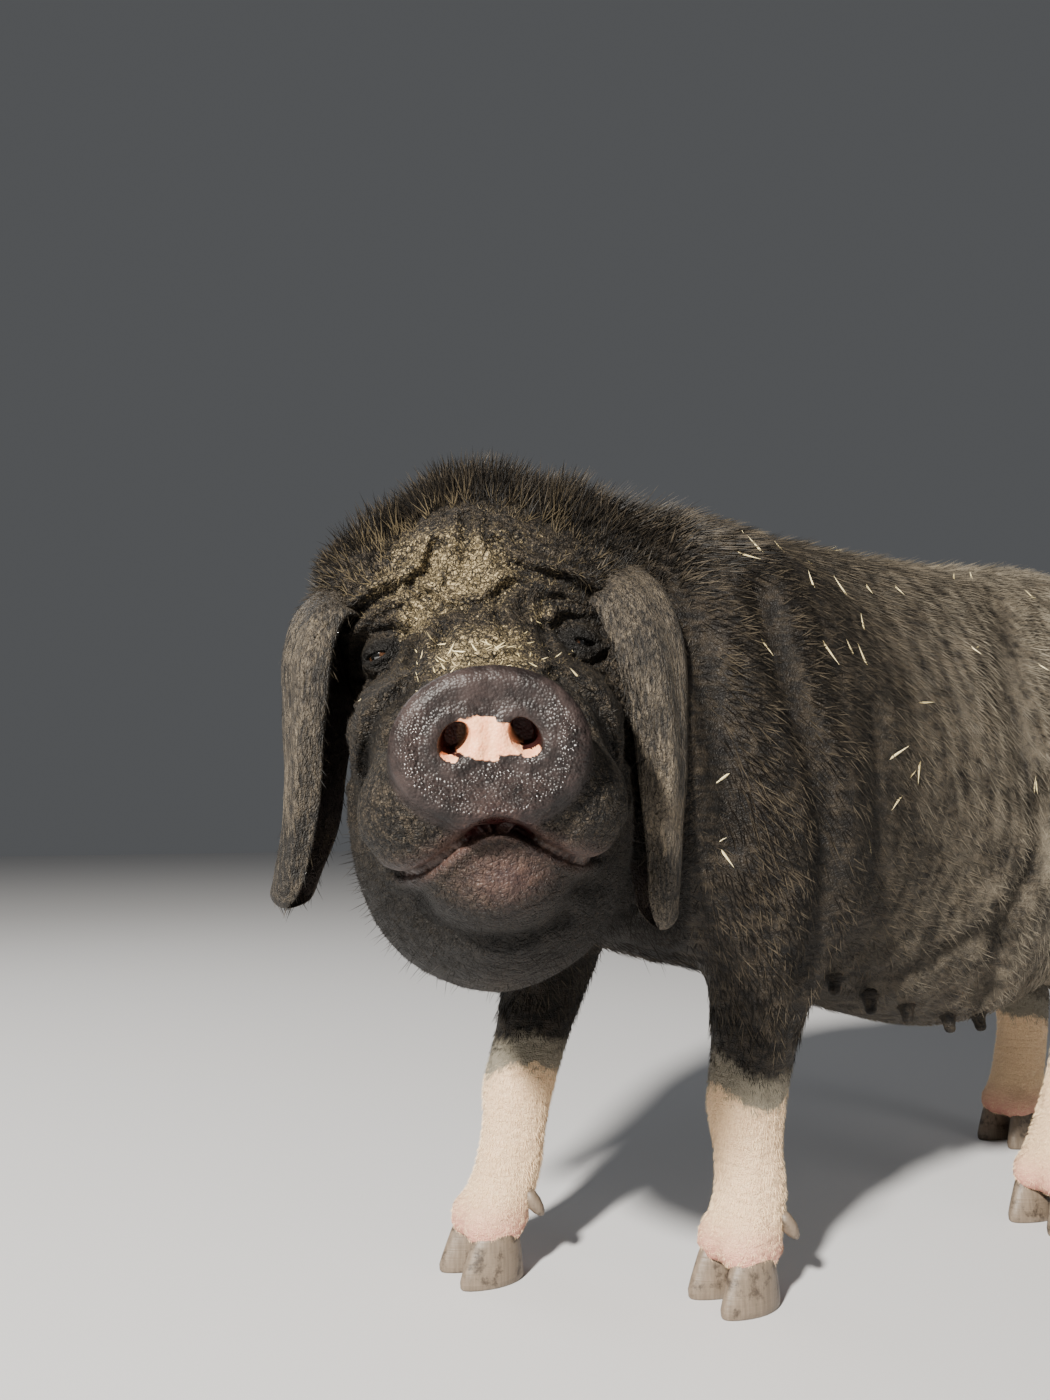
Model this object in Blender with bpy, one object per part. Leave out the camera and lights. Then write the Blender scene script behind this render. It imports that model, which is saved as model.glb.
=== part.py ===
"""Life-size still model of an adult black Meishan sow, standing in mid step with the head turned to its left.

The body faces -Y, its left side is +X, the floor is z = 0, and every size is in metres.
The flesh is one skin, fused from named masses, settled onto their blended surface, and parted with thin cuts.
"""

import math

import bmesh
import bpy
import numpy as np
from mathutils import Matrix, Vector
from mathutils.bvhtree import BVHTree

# Driving sizes of the sow.
WITHERS_HEIGHT = 0.655
PART_GAP = 0.0003
ROUGH_VOXEL = 0.012
SKIN_VOXEL = 0.0065
SKIN_TRIANGLES = 8200
PLAIN_TRIANGLES = 5000
RING_SIDES = 24

# The head's own frame: origin midway between the eyes, facing its own -Y.
HEAD_ORIGIN = Vector((0.097, -0.469, 0.516))
HEAD_TURN = math.radians(63.5)
HEAD_PITCH = math.radians(2.0)
HEAD_ROLL = math.radians(-4.1)
EYE_CENTRE = (0.070, -0.006, 0.0)
EYE_RADIUS = 0.0125
EYE_OUTWARD_TURN = math.radians(30.0)
LID_THICKNESS = 0.004
SNOUT_FACE_Y = -0.222
SNOUT_CENTRE_Z = -0.078
SNOUT_HALF_WIDTH = 0.056
SNOUT_HALF_HEIGHT = 0.045

# Where each foot stands on the floor: x, y.
FOOT_PLACES = {
    "fore_left": (0.075, -0.207),
    "fore_right": (-0.072, -0.365),
    "hind_left": (0.095, 0.172),
    "hind_right": (-0.098, 0.375),
}
# Where each limb's line meets the body's middle height: x, y.
LIMB_ROOTS = {
    "fore_left": (0.102, -0.236),
    "fore_right": (-0.080, -0.235),
    "hind_left": (0.095, 0.270),
    "hind_right": (-0.095, 0.302),
}
LIMB_ROOT_HEIGHT = 0.50
FOOT_TOP = 0.05

HEAD_FRAME = (
    Matrix.Translation(HEAD_ORIGIN)
    @ Matrix.Rotation(HEAD_TURN, 4, "Z")
    @ Matrix.Rotation(HEAD_PITCH, 4, "X")
    @ Matrix.Rotation(HEAD_ROLL, 4, "Y")
)

# Trunk stations from the chest to the tail head: y, top, bottom, half width.
TRUNK_STATIONS = (
    (-0.410, 0.500, 0.420, 0.050),
    (-0.370, 0.590, 0.345, 0.105),
    (-0.310, 0.633, 0.290, 0.138),
    (-0.230, WITHERS_HEIGHT, 0.262, 0.154),
    (-0.120, 0.664, 0.236, 0.168),
    (-0.010, 0.664, 0.198, 0.184),
    (0.090, 0.664, 0.182, 0.190),
    (0.180, 0.672, 0.205, 0.182),
    (0.260, 0.677, 0.262, 0.166),
    (0.340, 0.663, 0.335, 0.142),
    (0.400, 0.625, 0.400, 0.105),
    (0.440, 0.560, 0.470, 0.040),
)

# Head stations in the head's frame, from the muzzle back: y, top, bottom, half width.
HEAD_STATIONS = (
    (-0.212, -0.038, -0.112, 0.050),
    (-0.190, -0.034, -0.136, 0.056),
    (-0.150, -0.024, -0.168, 0.062),
    (-0.100, -0.004, -0.198, 0.072),
    (-0.050, 0.028, -0.222, 0.084),
    (0.000, 0.072, -0.234, 0.092),
    (0.050, 0.124, -0.234, 0.095),
    (0.090, 0.149, -0.220, 0.093),
    (0.130, 0.130, -0.180, 0.082),
)

# Limb stations from the body down: z, x offset outwards, y offset, half width, half length.
FORE_STATIONS = (
    (0.560, 0.000, 0.015, 0.020, 0.040),
    (0.480, 0.024, 0.014, 0.048, 0.080),
    (0.400, 0.036, 0.010, 0.056, 0.086),
    (0.330, 0.032, 0.010, 0.051, 0.067),
    (0.250, 0.017, 0.008, 0.040, 0.045),
    (0.195, 0.008, 0.004, 0.034, 0.036),
    (0.155, 0.003, 0.000, 0.032, 0.034),
    (0.120, 0.000, 0.003, 0.028, 0.030),
    (0.085, 0.000, 0.004, 0.029, 0.031),
    (0.058, 0.000, -0.002, 0.031, 0.032),
    (0.032, 0.000, -0.006, 0.029, 0.027),
)
HIND_STATIONS = (
    (0.600, -0.010, 0.010, 0.020, 0.040),
    (0.520, 0.018, 0.002, 0.060, 0.098),
    (0.440, 0.030, -0.004, 0.072, 0.116),
    (0.360, 0.030, -0.006, 0.066, 0.100),
    (0.290, 0.020, 0.004, 0.050, 0.068),
    (0.230, 0.008, 0.024, 0.037, 0.046),
    (0.185, 0.002, 0.036, 0.031, 0.041),
    (0.140, 0.000, 0.029, 0.028, 0.033),
    (0.095, 0.000, 0.013, 0.029, 0.032),
    (0.058, 0.000, -0.001, 0.031, 0.032),
    (0.032, 0.000, -0.006, 0.029, 0.027),
)
# The two toes of a foot and the bulbs behind them: centre, radii, blend.
TOE_MASSES = (
    ("toe", (0.0165, -0.014, 0.046), (0.0168, 0.025, 0.020), 0.008),
    ("heel", (0.0130, 0.014, 0.028), (0.0155, 0.017, 0.019), 0.010),
)

# Rounded masses in the head's frame: name, centre, radii, how softly each blends in.
PAIRED_HEAD_MASSES = (
    ("lip_lobe", (0.044, -0.154, -0.110), (0.037, 0.052, 0.037), 0.014),
    ("jowl", (0.043, -0.020, -0.128), (0.052, 0.095, 0.084), 0.040),
    ("brow", (0.052, 0.012, 0.042), (0.044, 0.032, 0.034), 0.030),
    ("cheek", (0.056, -0.070, -0.050), (0.034, 0.075, 0.038), 0.035),
    ("temple", (0.066, 0.056, 0.034), (0.038, 0.050, 0.046), 0.036),
)
SOCKET_RADII = (0.026, 0.014, 0.015)
MIDDLE_HEAD_MASSES = (
    ("chin", (0.0, -0.150, -0.150), (0.046, 0.046, 0.034), 0.020),
    ("dewlap", (0.0, -0.040, -0.186), (0.052, 0.100, 0.050), 0.040),
    ("forehead", (0.0, 0.025, 0.066), (0.060, 0.044, 0.052), 0.040),
)
# Body masses on both sides: name, centre, radii, blend.
PAIRED_BODY_MASSES = (
    ("shoulder", (0.106, -0.215, 0.455), (0.052, 0.095, 0.150), 0.060),
    ("ham", (0.086, 0.285, 0.440), (0.070, 0.110, 0.150), 0.060),
)

# Folds of the face, seen from the front in the head's frame: name, points of x and z, the y they lie near,
# half width, depth. The paired ones repeat on the other side.
PAIRED_FOLDS = (
    ("brow", ((0.020, 0.074), (0.044, 0.062), (0.072, 0.053), (0.094, 0.034)), 0.005, 0.0060, 0.0050),
    ("under_eye", ((0.050, -0.012), (0.070, -0.020), (0.092, -0.018)), -0.010, 0.0050, 0.0030),
    ("nose_side", ((0.056, 0.020), (0.052, -0.005), (0.048, -0.030)), -0.050, 0.0060, 0.0035),
    ("muzzle", ((0.046, -0.034), (0.068, -0.054), (0.079, -0.084), (0.083, -0.112)), -0.115, 0.0070, 0.0050),
)
MIDDLE_FOLDS = (
    ("vee", ((-0.046, 0.050), (-0.022, 0.031), (0.006, 0.031), (0.030, 0.050)), 0.000, 0.0055, 0.0045),
    ("crease", ((-0.004, 0.100), (-0.006, 0.066)), 0.020, 0.0055, 0.0035),
)

# Soft folds of the body: name, points along the fold, half width, depth.
BODY_FOLDS = (
    (
        "shoulder_left",
        ((0.168, -0.254, 0.570), (0.186, -0.249, 0.501), (0.196, -0.226, 0.420), (0.179, -0.208, 0.329), (0.150, -0.205, 0.270)),
        0.012,
        0.0070,
    ),
    ("elbow_left", ((0.178, -0.148, 0.480), (0.188, -0.152, 0.416), (0.165, -0.140, 0.340)), 0.014, 0.0035),
    ("flank_left", ((0.192, 0.062, 0.420), (0.187, 0.049, 0.374), (0.165, 0.020, 0.308), (0.119, 0.047, 0.234)), 0.013, 0.0070),
    ("belly_left", ((0.165, 0.016, 0.308), (0.135, -0.029, 0.269), (0.092, -0.070, 0.240)), 0.010, 0.0050),
    ("hip_left", ((0.125, 0.090, 0.600), (0.173, 0.030, 0.499), (0.186, 0.040, 0.400)), 0.020, 0.0050),
    ("throat_left", ((0.168, -0.319, 0.527), (0.180, -0.312, 0.451), (0.170, -0.294, 0.377)), 0.013, 0.0050),
    ("shoulder_right", ((-0.115, -0.215, 0.540), (-0.146, -0.185, 0.440), (-0.140, -0.170, 0.340), (-0.115, -0.160, 0.270)), 0.012, 0.0070),
    ("flank_right", ((-0.185, 0.130, 0.430), (-0.180, 0.110, 0.350), (-0.150, 0.100, 0.280), (-0.110, 0.120, 0.230)), 0.013, 0.0070),
    ("hip_right", ((-0.130, 0.150, 0.590), (-0.176, 0.110, 0.500), (-0.186, 0.110, 0.420)), 0.020, 0.0050),
)

# The neck: share of the way from trunk to head, half width, half height.
NECK_STATIONS = (
    (0.0, 0.125, 0.164),
    (0.25, 0.122, 0.168),
    (0.5, 0.118, 0.170),
    (0.75, 0.110, 0.170),
    (1.0, 0.100, 0.166),
)
# Thin cuts that part the flesh: height and sideways reach of each leg's cut, and the planes of neck and head.
LEG_CUT_HEIGHT = {"fore": 0.226, "hind": 0.216}
LEG_CUT_REACH = 0.062
NECK_CUT_POINT = Vector((0.02, -0.290, 0.500))
NECK_CUT_NORMAL = Vector((0.35, -0.92, 0.15)).normalized()
HEAD_CUT_Y = 0.095
HEAD_CUT_HALF_WIDTH = 0.160

# The mouth: height of the lips' line at the middle and the corners, how far back it runs, how far it gapes.
MOUTH_MIDDLE_Z = -0.120
MOUTH_CORNER_Z = -0.149
MOUTH_ARCH_WIDTH = 0.034
MOUTH_BACK_Y = -0.050
MOUTH_GAPE = 0.0065
JAW_WALL_LEAN = 0.35
TOOTH_SIZE = (0.0046, 0.0036, 0.011)

# Nostrils: centre, radii, slant.
NOSTRIL_CENTRE = (0.0182, SNOUT_FACE_Y + 0.002, SNOUT_CENTRE_Z + 0.003)
NOSTRIL_RADII = (0.0078, 0.016, 0.0105)
NOSTRIL_SLANT = math.radians(28.0)

# The slit between the lids: half length, reach, half height, slant up towards the snout.
EYE_SLIT = (0.0138, 0.030, 0.0048)
EYE_SLIT_SLANT = math.radians(16.0)

# Ears: places along the leaf in the head's frame, and the radii of the cup across it.
EAR_PLACES = {
    "left": (
        (0.078, 0.062, 0.078),
        (0.108, 0.050, 0.074),
        (0.138, 0.034, 0.050),
        (0.152, 0.018, 0.008),
        (0.154, 0.006, -0.042),
        (0.149, -0.002, -0.094),
        (0.140, -0.006, -0.146),
        (0.134, -0.008, -0.186),
        (0.130, -0.008, -0.214),
    ),
    "right": (
        (-0.078, 0.062, 0.070),
        (-0.108, 0.050, 0.066),
        (-0.134, 0.036, 0.044),
        (-0.146, 0.022, 0.008),
        (-0.149, 0.012, -0.034),
        (-0.150, 0.006, -0.078),
        (-0.154, 0.002, -0.122),
        (-0.161, 0.000, -0.154),
        (-0.166, -0.002, -0.174),
    ),
}
EAR_CUP = {
    "left": (
        (0.024, 0.026),
        (0.033, 0.036),
        (0.040, 0.046),
        (0.041, 0.050),
        (0.037, 0.047),
        (0.031, 0.038),
        (0.023, 0.028),
        (0.017, 0.019),
        (0.006, 0.007),
    ),
    "right": (
        (0.022, 0.028),
        (0.027, 0.038),
        (0.029, 0.046),
        (0.028, 0.048),
        (0.026, 0.044),
        (0.023, 0.036),
        (0.020, 0.028),
        (0.017, 0.020),
        (0.006, 0.007),
    ),
}
EAR_FRONT_TURN = math.radians(-118.0)
EAR_REAR_TURN = math.radians(120.0)
EAR_THICKNESS = (0.0085, 0.0045)
EAR_ARC_POINTS = 9

# Hooves and dewclaws.
HOOF_HALF_SPACING = 0.0172
HOOF_LEVELS = (
    (0.000, -0.0160, 0.0150, 0.0310),
    (0.006, -0.0165, 0.0156, 0.0310),
    (0.022, -0.0145, 0.0150, 0.0270),
    (0.042, -0.0120, 0.0142, 0.0212),
)
HOOF_SPLAY = math.radians(5.0)
HOOF_SIDES = 10
DEWCLAW_PLACE = (0.0205, 0.029, 0.070)
DEWCLAW_LENGTH = 0.026
DEWCLAW_RADIUS = 0.0085

# The tail hangs from the rump: places and radius.
TAIL_PLACES = (
    (0.000, 0.405, 0.590),
    (0.000, 0.442, 0.570),
    (0.003, 0.468, 0.520),
    (0.006, 0.476, 0.450),
    (0.004, 0.472, 0.375),
    (0.000, 0.466, 0.310),
)
TAIL_RADII = (0.018, 0.017, 0.0135, 0.011, 0.009, 0.007)

# Teats stand in two lines under the belly.
TEAT_PAIRS = 7
TEAT_SPAN = (-0.120, 0.190)
TEAT_HALF_SPACING = 0.052
TEAT_LENGTH = 0.013
TEAT_RADIUS = 0.0055

# Bristle locks: per stretch of the topline, its locks along and across, spacing across, length and lean back.
LOCK_SEED = 11
LOCK_TAPER = ((0.0, 1.0), (0.45, 0.98), (0.82, 0.62))
LOCK_SINK = 0.009
LOCK_CURL = 0.30
CREST_STRETCHES = (
    ("brow_top", 0.00, 0.07, 2, 5, 0.024, 0.026, 34.0),
    ("poll", 0.07, 0.20, 4, 5, 0.026, 0.036, 36.0),
    ("neck", 0.20, 0.44, 6, 5, 0.026, 0.036, 60.0),
    ("withers", 0.44, 0.60, 4, 4, 0.026, 0.038, 67.0),
    ("back", 0.60, 1.00, 9, 3, 0.026, 0.046, 68.0),
)
LOCK_WIDTH = 0.031
LOCK_THICKNESS = 0.0052
SWITCH_LOCKS = 6

NECK_ROOT = Vector((0.012, -0.230, 0.480))
NECK_END = HEAD_FRAME @ Vector((0.0, 0.070, -0.040))
NECK_HALF_LENGTH = 0.085
NECK_BLEND = 0.060


def spine_x(y):
    """How far the spine has bent to the sow's left at a given y."""
    bend = np.maximum(0.0, -0.02 - y)
    return 0.45 * bend * bend


def smooth_step(value):
    """Zero below 0, one above 1 and smooth between."""
    t = np.clip(value, 0.0, 1.0)
    return t * t * (3.0 - 2.0 * t)


def along_stations(stations, place):
    """Reads every column of a station table at the given places, on smooth curves through the stations."""
    table = np.array(stations, float)
    table = table[np.argsort(table[:, 0])]
    knots, values = table[:, 0], table[:, 1:]
    slopes = np.gradient(values, knots, axis=0)
    place = np.clip(place, knots[0], knots[-1])
    k = np.clip(np.searchsorted(knots, place) - 1, 0, len(knots) - 2)
    width = knots[k + 1] - knots[k]
    t = ((place - knots[k]) / width)[:, None]
    width = width[:, None]
    return (
        values[k] * (1 + 2 * t) * (1 - t) ** 2
        + slopes[k] * width * t * (1 - t) ** 2
        + values[k + 1] * t * t * (3 - 2 * t)
        + slopes[k + 1] * width * t * t * (t - 1)
    )


def oval_distance(across, along, half_across, half_along):
    """About how far a point lies outside an oval section."""
    half_across = np.maximum(half_across, 0.004)
    half_along = np.maximum(half_along, 0.004)
    u, v = across / half_across, along / half_along
    size = np.hypot(u, v) + 1e-9
    slope = np.hypot(u / half_across, v / half_along) + 1e-9
    return size * (size - 1.0) / slope


def ellipsoid_distance(local, radii):
    """About how far points lie outside an ellipsoid at the origin."""
    radii = np.array(radii)
    size = np.linalg.norm(local / radii, axis=1) + 1e-9
    slope = np.linalg.norm(local / radii**2, axis=1) + 1e-9
    return size * (size - 1.0) / slope


def blend(first, second, softness):
    """The union of two distances with a soft inner corner."""
    share = np.clip(0.5 + 0.5 * (second - first) / softness, 0.0, 1.0)
    return second + (first - second) * share - softness * share * (1.0 - share)


def into_frame(points, frame):
    """World points read in a frame."""
    inverse = np.array(frame.inverted())
    return points @ inverse[:3, :3].T + inverse[:3, 3]


def trunk_distance(points):
    """Distance to the trunk."""
    x, y, z = points.T
    top, bottom, half_width = along_stations(TRUNK_STATIONS, y).T
    middle = 0.46 * top + 0.54 * bottom
    reach = np.where(z > middle, top - middle, middle - bottom)
    section = oval_distance(x - spine_x(y), z - middle, half_width, reach)
    ends = np.maximum(TRUNK_STATIONS[0][0] - y, y - TRUNK_STATIONS[-1][0])
    return np.maximum(section, ends)


def skull_distance(local):
    """Distance to the skull and deep lower jaw, in the head's frame."""
    x, y, z = local.T
    top, bottom, half_width = along_stations(HEAD_STATIONS, y).T
    middle = 0.45 * top + 0.55 * bottom
    reach = np.where(z > middle, top - middle, middle - bottom)
    section = oval_distance(x, z - middle, half_width, reach)
    ends = np.maximum(HEAD_STATIONS[0][0] - y, y - HEAD_STATIONS[-1][0])
    return np.maximum(section, ends)


def limb_line(limb, z):
    """Where a limb's line stands at given heights, from its root down to its foot."""
    foot, root = FOOT_PLACES[limb], LIMB_ROOTS[limb]
    share = np.clip((z - FOOT_TOP) / (LIMB_ROOT_HEIGHT - FOOT_TOP), 0.0, 1.0)
    share = 0.5 * share + 0.5 * smooth_step(share)
    return [foot[k] + (root[k] - foot[k]) * share for k in range(2)]


def limb_stations(limb):
    """The station table that a limb follows."""
    return FORE_STATIONS if limb.startswith("fore") else HIND_STATIONS


def limb_distance(points, limb):
    """Distance to one leg."""
    x, y, z = points.T
    outwards = 1.0 if limb.endswith("left") else -1.0
    stations = limb_stations(limb)
    x_off, y_off, half_width, half_length = along_stations(stations, z).T
    line_x, line_y = limb_line(limb, z)
    section = oval_distance(
        x - line_x - outwards * x_off, y - line_y - y_off, half_width, half_length
    )
    ends = np.maximum(stations[-1][0] - z, z - stations[0][0])
    return np.maximum(section, ends)


def neck_frames():
    """A frame and radii for each mass of the short neck, along a bend from the trunk to the head."""
    body_heading = Vector((0.10, -1.0, 0.0)).normalized()
    head_heading = (HEAD_FRAME.to_3x3() @ Vector((0, -1, 0))).normalized()
    handle = (NECK_END - NECK_ROOT).length * 0.33
    first = NECK_ROOT + body_heading * handle
    second = NECK_END - head_heading * handle
    made = []
    for share, half_width, half_height in NECK_STATIONS:
        a, b = 1.0 - share, share
        centre = (
            NECK_ROOT * a**3 + first * 3 * a * a * b + second * 3 * a * b * b + NECK_END * b**3
        )
        heading = (body_heading * a + head_heading * b).normalized()
        turn = math.atan2(heading.x, -heading.y)
        frame = Matrix.Translation(centre) @ Matrix.Rotation(turn, 4, "Z")
        made.append((frame, (half_width, NECK_HALF_LENGTH, half_height)))
    return made


def path_distance(across, up, points):
    """How far places seen from the front lie from a path of x and z."""
    nearest = np.full(across.shape, 1.0)
    for (ax, az), (bx, bz) in zip(points, points[1:]):
        run, rise = bx - ax, bz - az
        share = np.clip(((across - ax) * run + (up - az) * rise) / (run * run + rise * rise), 0, 1)
        nearest = np.minimum(nearest, np.hypot(across - ax - run * share, up - az - rise * share))
    return nearest


def line_distance(points, line):
    """How far points lie from a line through places."""
    nearest = np.full(len(points), 1.0)
    for start, end in zip(line, line[1:]):
        start, run = np.array(start), np.array(end) - np.array(start)
        share = np.clip((points - start) @ run / (run @ run), 0, 1)
        nearest = np.minimum(nearest, np.linalg.norm(points - start - share[:, None] * run, axis=1))
    return nearest


def fold_depth(local):
    """How deep the folds of the face are at points in the head's frame."""
    x, y, z = local.T
    depth = np.zeros(len(x))
    folds = [(fold, x) for fold in MIDDLE_FOLDS] + [(fold, np.abs(x)) for fold in PAIRED_FOLDS]
    for (name, points, place, half_width, deep), across in folds:
        away = path_distance(across, z, points) / half_width
        window = 1.0 - smooth_step((np.abs(y - place) - 0.035) / 0.02)
        depth += window * deep * (np.exp(-(away**2)) - 0.35 * np.exp(-((away - 2.0) ** 2)))
    return depth


def disc_distance(local):
    """Distance to the snout disc's drum, in the head's frame."""
    x, y, z = local.T
    side = oval_distance(x, z - SNOUT_CENTRE_Z, SNOUT_HALF_WIDTH, SNOUT_HALF_HEIGHT)
    ends = np.maximum(SNOUT_FACE_Y - y, y - SNOUT_FACE_Y - 0.036)
    rounding = 0.010
    corner = np.hypot(np.maximum(side + rounding, 0), np.maximum(ends + rounding, 0)) - rounding
    return np.where((side < -rounding) & (ends < -rounding), np.maximum(side, ends), corner)


def head_distance(local):
    """Distance to the head with its masses, eye sockets, lids and folds, in the head's frame."""
    head = skull_distance(local)
    for name, centre, radii, softness in MIDDLE_HEAD_MASSES:
        head = blend(head, ellipsoid_distance(local - np.array(centre), radii), softness)
    for name, centre, radii, softness in PAIRED_HEAD_MASSES:
        for sign in (1.0, -1.0):
            place = np.array((centre[0] * sign, *centre[1:]))
            head = blend(head, ellipsoid_distance(local - place, radii), softness)
    for sign in (1.0, -1.0):
        eye = np.array((EYE_CENTRE[0] * sign, *EYE_CENTRE[1:]))
        hollow = ellipsoid_distance(local - eye + (0, 0.016, 0), SOCKET_RADII)
        head = -blend(-head, hollow, 0.012)
        lid = np.linalg.norm(local - eye, axis=1) - EYE_RADIUS - LID_THICKNESS
        head = blend(head, lid, 0.008)
    return blend(head + fold_depth(local), disc_distance(local), 0.010)


def body_distance(points):
    """Distance to the blended surface of all the flesh."""
    field = trunk_distance(points)
    for name, centre, radii, softness in PAIRED_BODY_MASSES:
        for sign in (1.0, -1.0):
            place = np.array((centre[0] * sign + float(spine_x(np.array(centre[1]))), *centre[1:]))
            field = blend(field, ellipsoid_distance(points - place, radii), softness)
    for frame, radii in neck_frames():
        field = blend(field, ellipsoid_distance(into_frame(points, frame), radii), NECK_BLEND)
    for limb, foot in FOOT_PLACES.items():
        leg = limb_distance(points, limb)
        for name, centre, radii, softness in TOE_MASSES:
            for sign in (1.0, -1.0):
                place = np.array((foot[0] + centre[0] * sign, foot[1] + centre[1], centre[2]))
                leg = blend(leg, ellipsoid_distance(points - place, radii), softness)
        field = blend(field, leg, 0.030)
    for name, line, half_width, deep in BODY_FOLDS:
        away = line_distance(points, line) / half_width
        field = field + deep * (np.exp(-(away**2)) - 0.22 * np.exp(-((away - 2.2) ** 2)))
    return blend(field, head_distance(into_frame(points, HEAD_FRAME)), 0.030)


def settle(mesh, passes):
    """Moves a mesh's points onto the blended surface."""
    points = np.empty(len(mesh.vertices) * 3, np.float32)
    mesh.vertices.foreach_get("co", points)
    points = points.reshape(-1, 3).astype(float)
    step = 0.0005
    for _ in range(passes):
        here = body_distance(points)
        slope = np.stack(
            [body_distance(points + step * axis) - here for axis in np.eye(3)], axis=1
        ) / step
        size = np.maximum(np.linalg.norm(slope, axis=1), 0.3)
        points -= slope * np.clip(here / size**2, -0.02, 0.02)[:, None]
    mesh.vertices.foreach_set("co", points.astype(np.float32).ravel())
    mesh.update()


def finish(name, colour, roughness):
    """A plain coloured material."""
    made = bpy.data.materials.new(name)
    made.use_nodes = True
    shader = made.node_tree.nodes["Principled BSDF"]
    shader.inputs["Base Color"].default_value = (*colour, 1.0)
    shader.inputs["Roughness"].default_value = roughness
    made.diffuse_color = (*colour, 1.0)
    return made


def add_object(name, mesh, material=None):
    """Puts a mesh into the scene as an object."""
    made = bpy.data.objects.new(name, mesh)
    bpy.context.scene.collection.objects.link(made)
    if material:
        mesh.materials.clear()
        mesh.materials.append(material)
    return made


def mesh_from(name, points, faces):
    """A mesh with its faces turned outwards."""
    mesh = bpy.data.meshes.new(name)
    mesh.from_pydata([tuple(p) for p in points], [], faces)
    work = bmesh.new()
    work.from_mesh(mesh)
    bmesh.ops.recalc_face_normals(work, faces=work.faces)
    work.to_mesh(mesh)
    work.free()
    return mesh


def ring(centre, side, rise, fall, sides=RING_SIDES):
    """One closed section: side is its half width, rise and fall reach up and down from the centre."""
    points = []
    for k in range(sides):
        turn = 2.0 * math.pi * k / sides
        across, along = math.cos(turn), math.sin(turn)
        points.append(centre + side * across + (rise * along if along > 0 else fall * -along))
    return points


def loft(name, rings):
    """A closed solid through rings of equal count, capped flat at both ends."""
    sides = len(rings[0])
    points = [p for section in rings for p in section]
    faces = []
    for row in range(len(rings) - 1):
        for k in range(sides):
            a, b = row * sides + k, row * sides + (k + 1) % sides
            faces.append((a, b, b + sides, a + sides))
    faces.append(tuple(range(sides)))
    last = (len(rings) - 1) * sides
    faces.append(tuple(last + k for k in range(sides)))
    return mesh_from(name, points, faces)


def ellipsoid(name, centre, radii, frame=Matrix.Identity(4), segments=20):
    """A closed ellipsoid placed in a frame."""
    mesh = bpy.data.meshes.new(name)
    work = bmesh.new()
    place = frame @ Matrix.Translation(Vector(centre)) @ Matrix.Diagonal((*radii, 1.0))
    bmesh.ops.create_uvsphere(
        work, u_segments=segments, v_segments=segments // 2, radius=1.0, matrix=place
    )
    work.to_mesh(mesh)
    work.free()
    return mesh


def station_loft(name, stations, frame, bend=None):
    """A loft through stations of y, top, bottom and half width, in a frame."""
    turn = frame.to_3x3()
    rings = []
    for y, top, bottom, half_width in stations:
        middle = 0.46 * top + 0.54 * bottom
        x = float(bend(np.array(y))) if bend else 0.0
        rings.append(
            ring(
                frame @ Vector((x, y, middle)),
                turn @ Vector((half_width, 0, 0)),
                turn @ Vector((0, 0, top - middle)),
                turn @ Vector((0, 0, bottom - middle)),
            )
        )
    return loft(name, rings)


def limb_mesh(limb):
    """One leg as a loft of level sections."""
    outwards = 1.0 if limb.endswith("left") else -1.0
    rings = []
    for z, x_off, y_off, half_width, half_length in limb_stations(limb):
        x, y = limb_line(limb, np.array(z))
        rings.append(
            ring(
                Vector((float(x) + outwards * x_off, float(y) + y_off, z)),
                Vector((half_width, 0, 0)),
                Vector((0, half_length, 0)),
                Vector((0, -half_length, 0)),
                sides=16,
            )
        )
    return loft(limb, rings)


def rough_pieces():
    """Every mass as a plain closed mesh, for the fuse to start from."""
    identity = Matrix.Identity(4)
    made = [
        station_loft("trunk", TRUNK_STATIONS, identity, spine_x),
        station_loft("skull", HEAD_STATIONS, HEAD_FRAME),
    ]
    made += [limb_mesh(limb) for limb in FOOT_PLACES]
    made += [ellipsoid("neck", (0, 0, 0), radii, frame) for frame, radii in neck_frames()]
    for name, centre, radii, _ in PAIRED_HEAD_MASSES:
        for sign in (1.0, -1.0):
            made.append(ellipsoid(name, (centre[0] * sign, *centre[1:]), radii, HEAD_FRAME))
    for name, centre, radii, _ in MIDDLE_HEAD_MASSES:
        made.append(ellipsoid(name, centre, radii, HEAD_FRAME))
    for name, centre, radii, _ in PAIRED_BODY_MASSES:
        for sign in (1.0, -1.0):
            made.append(ellipsoid(name, (centre[0] * sign, *centre[1:]), radii))
    turn = HEAD_FRAME.to_3x3()
    rings = [
        ring(
            HEAD_FRAME @ Vector((0.0, SNOUT_FACE_Y + back, SNOUT_CENTRE_Z)),
            turn @ Vector((SNOUT_HALF_WIDTH, 0, 0)),
            turn @ Vector((0, 0, SNOUT_HALF_HEIGHT)),
            turn @ Vector((0, 0, -SNOUT_HALF_HEIGHT)),
        )
        for back in (0.0, 0.036)
    ]
    made.append(loft("disc", rings))
    return made


def join_meshes(name, meshes):
    """One mesh that holds several, which are then removed."""
    work = bmesh.new()
    for mesh in meshes:
        work.from_mesh(mesh)
        bpy.data.meshes.remove(mesh)
    joined = bpy.data.meshes.new(name)
    work.to_mesh(joined)
    work.free()
    return joined


def bake(thing):
    """Bakes an object's modifiers into its mesh."""
    graph = bpy.context.evaluated_depsgraph_get()
    baked = bpy.data.meshes.new_from_object(thing.evaluated_get(graph))
    thing.modifiers.clear()
    old = thing.data
    thing.data = baked
    bpy.data.meshes.remove(old)


def voxel_fuse(thing, voxel):
    """Fuses an object's overlapping pieces into one even skin."""
    fuse = thing.modifiers.new("fuse", "REMESH")
    fuse.mode = "VOXEL"
    fuse.voxel_size = voxel
    bake(thing)


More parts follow.
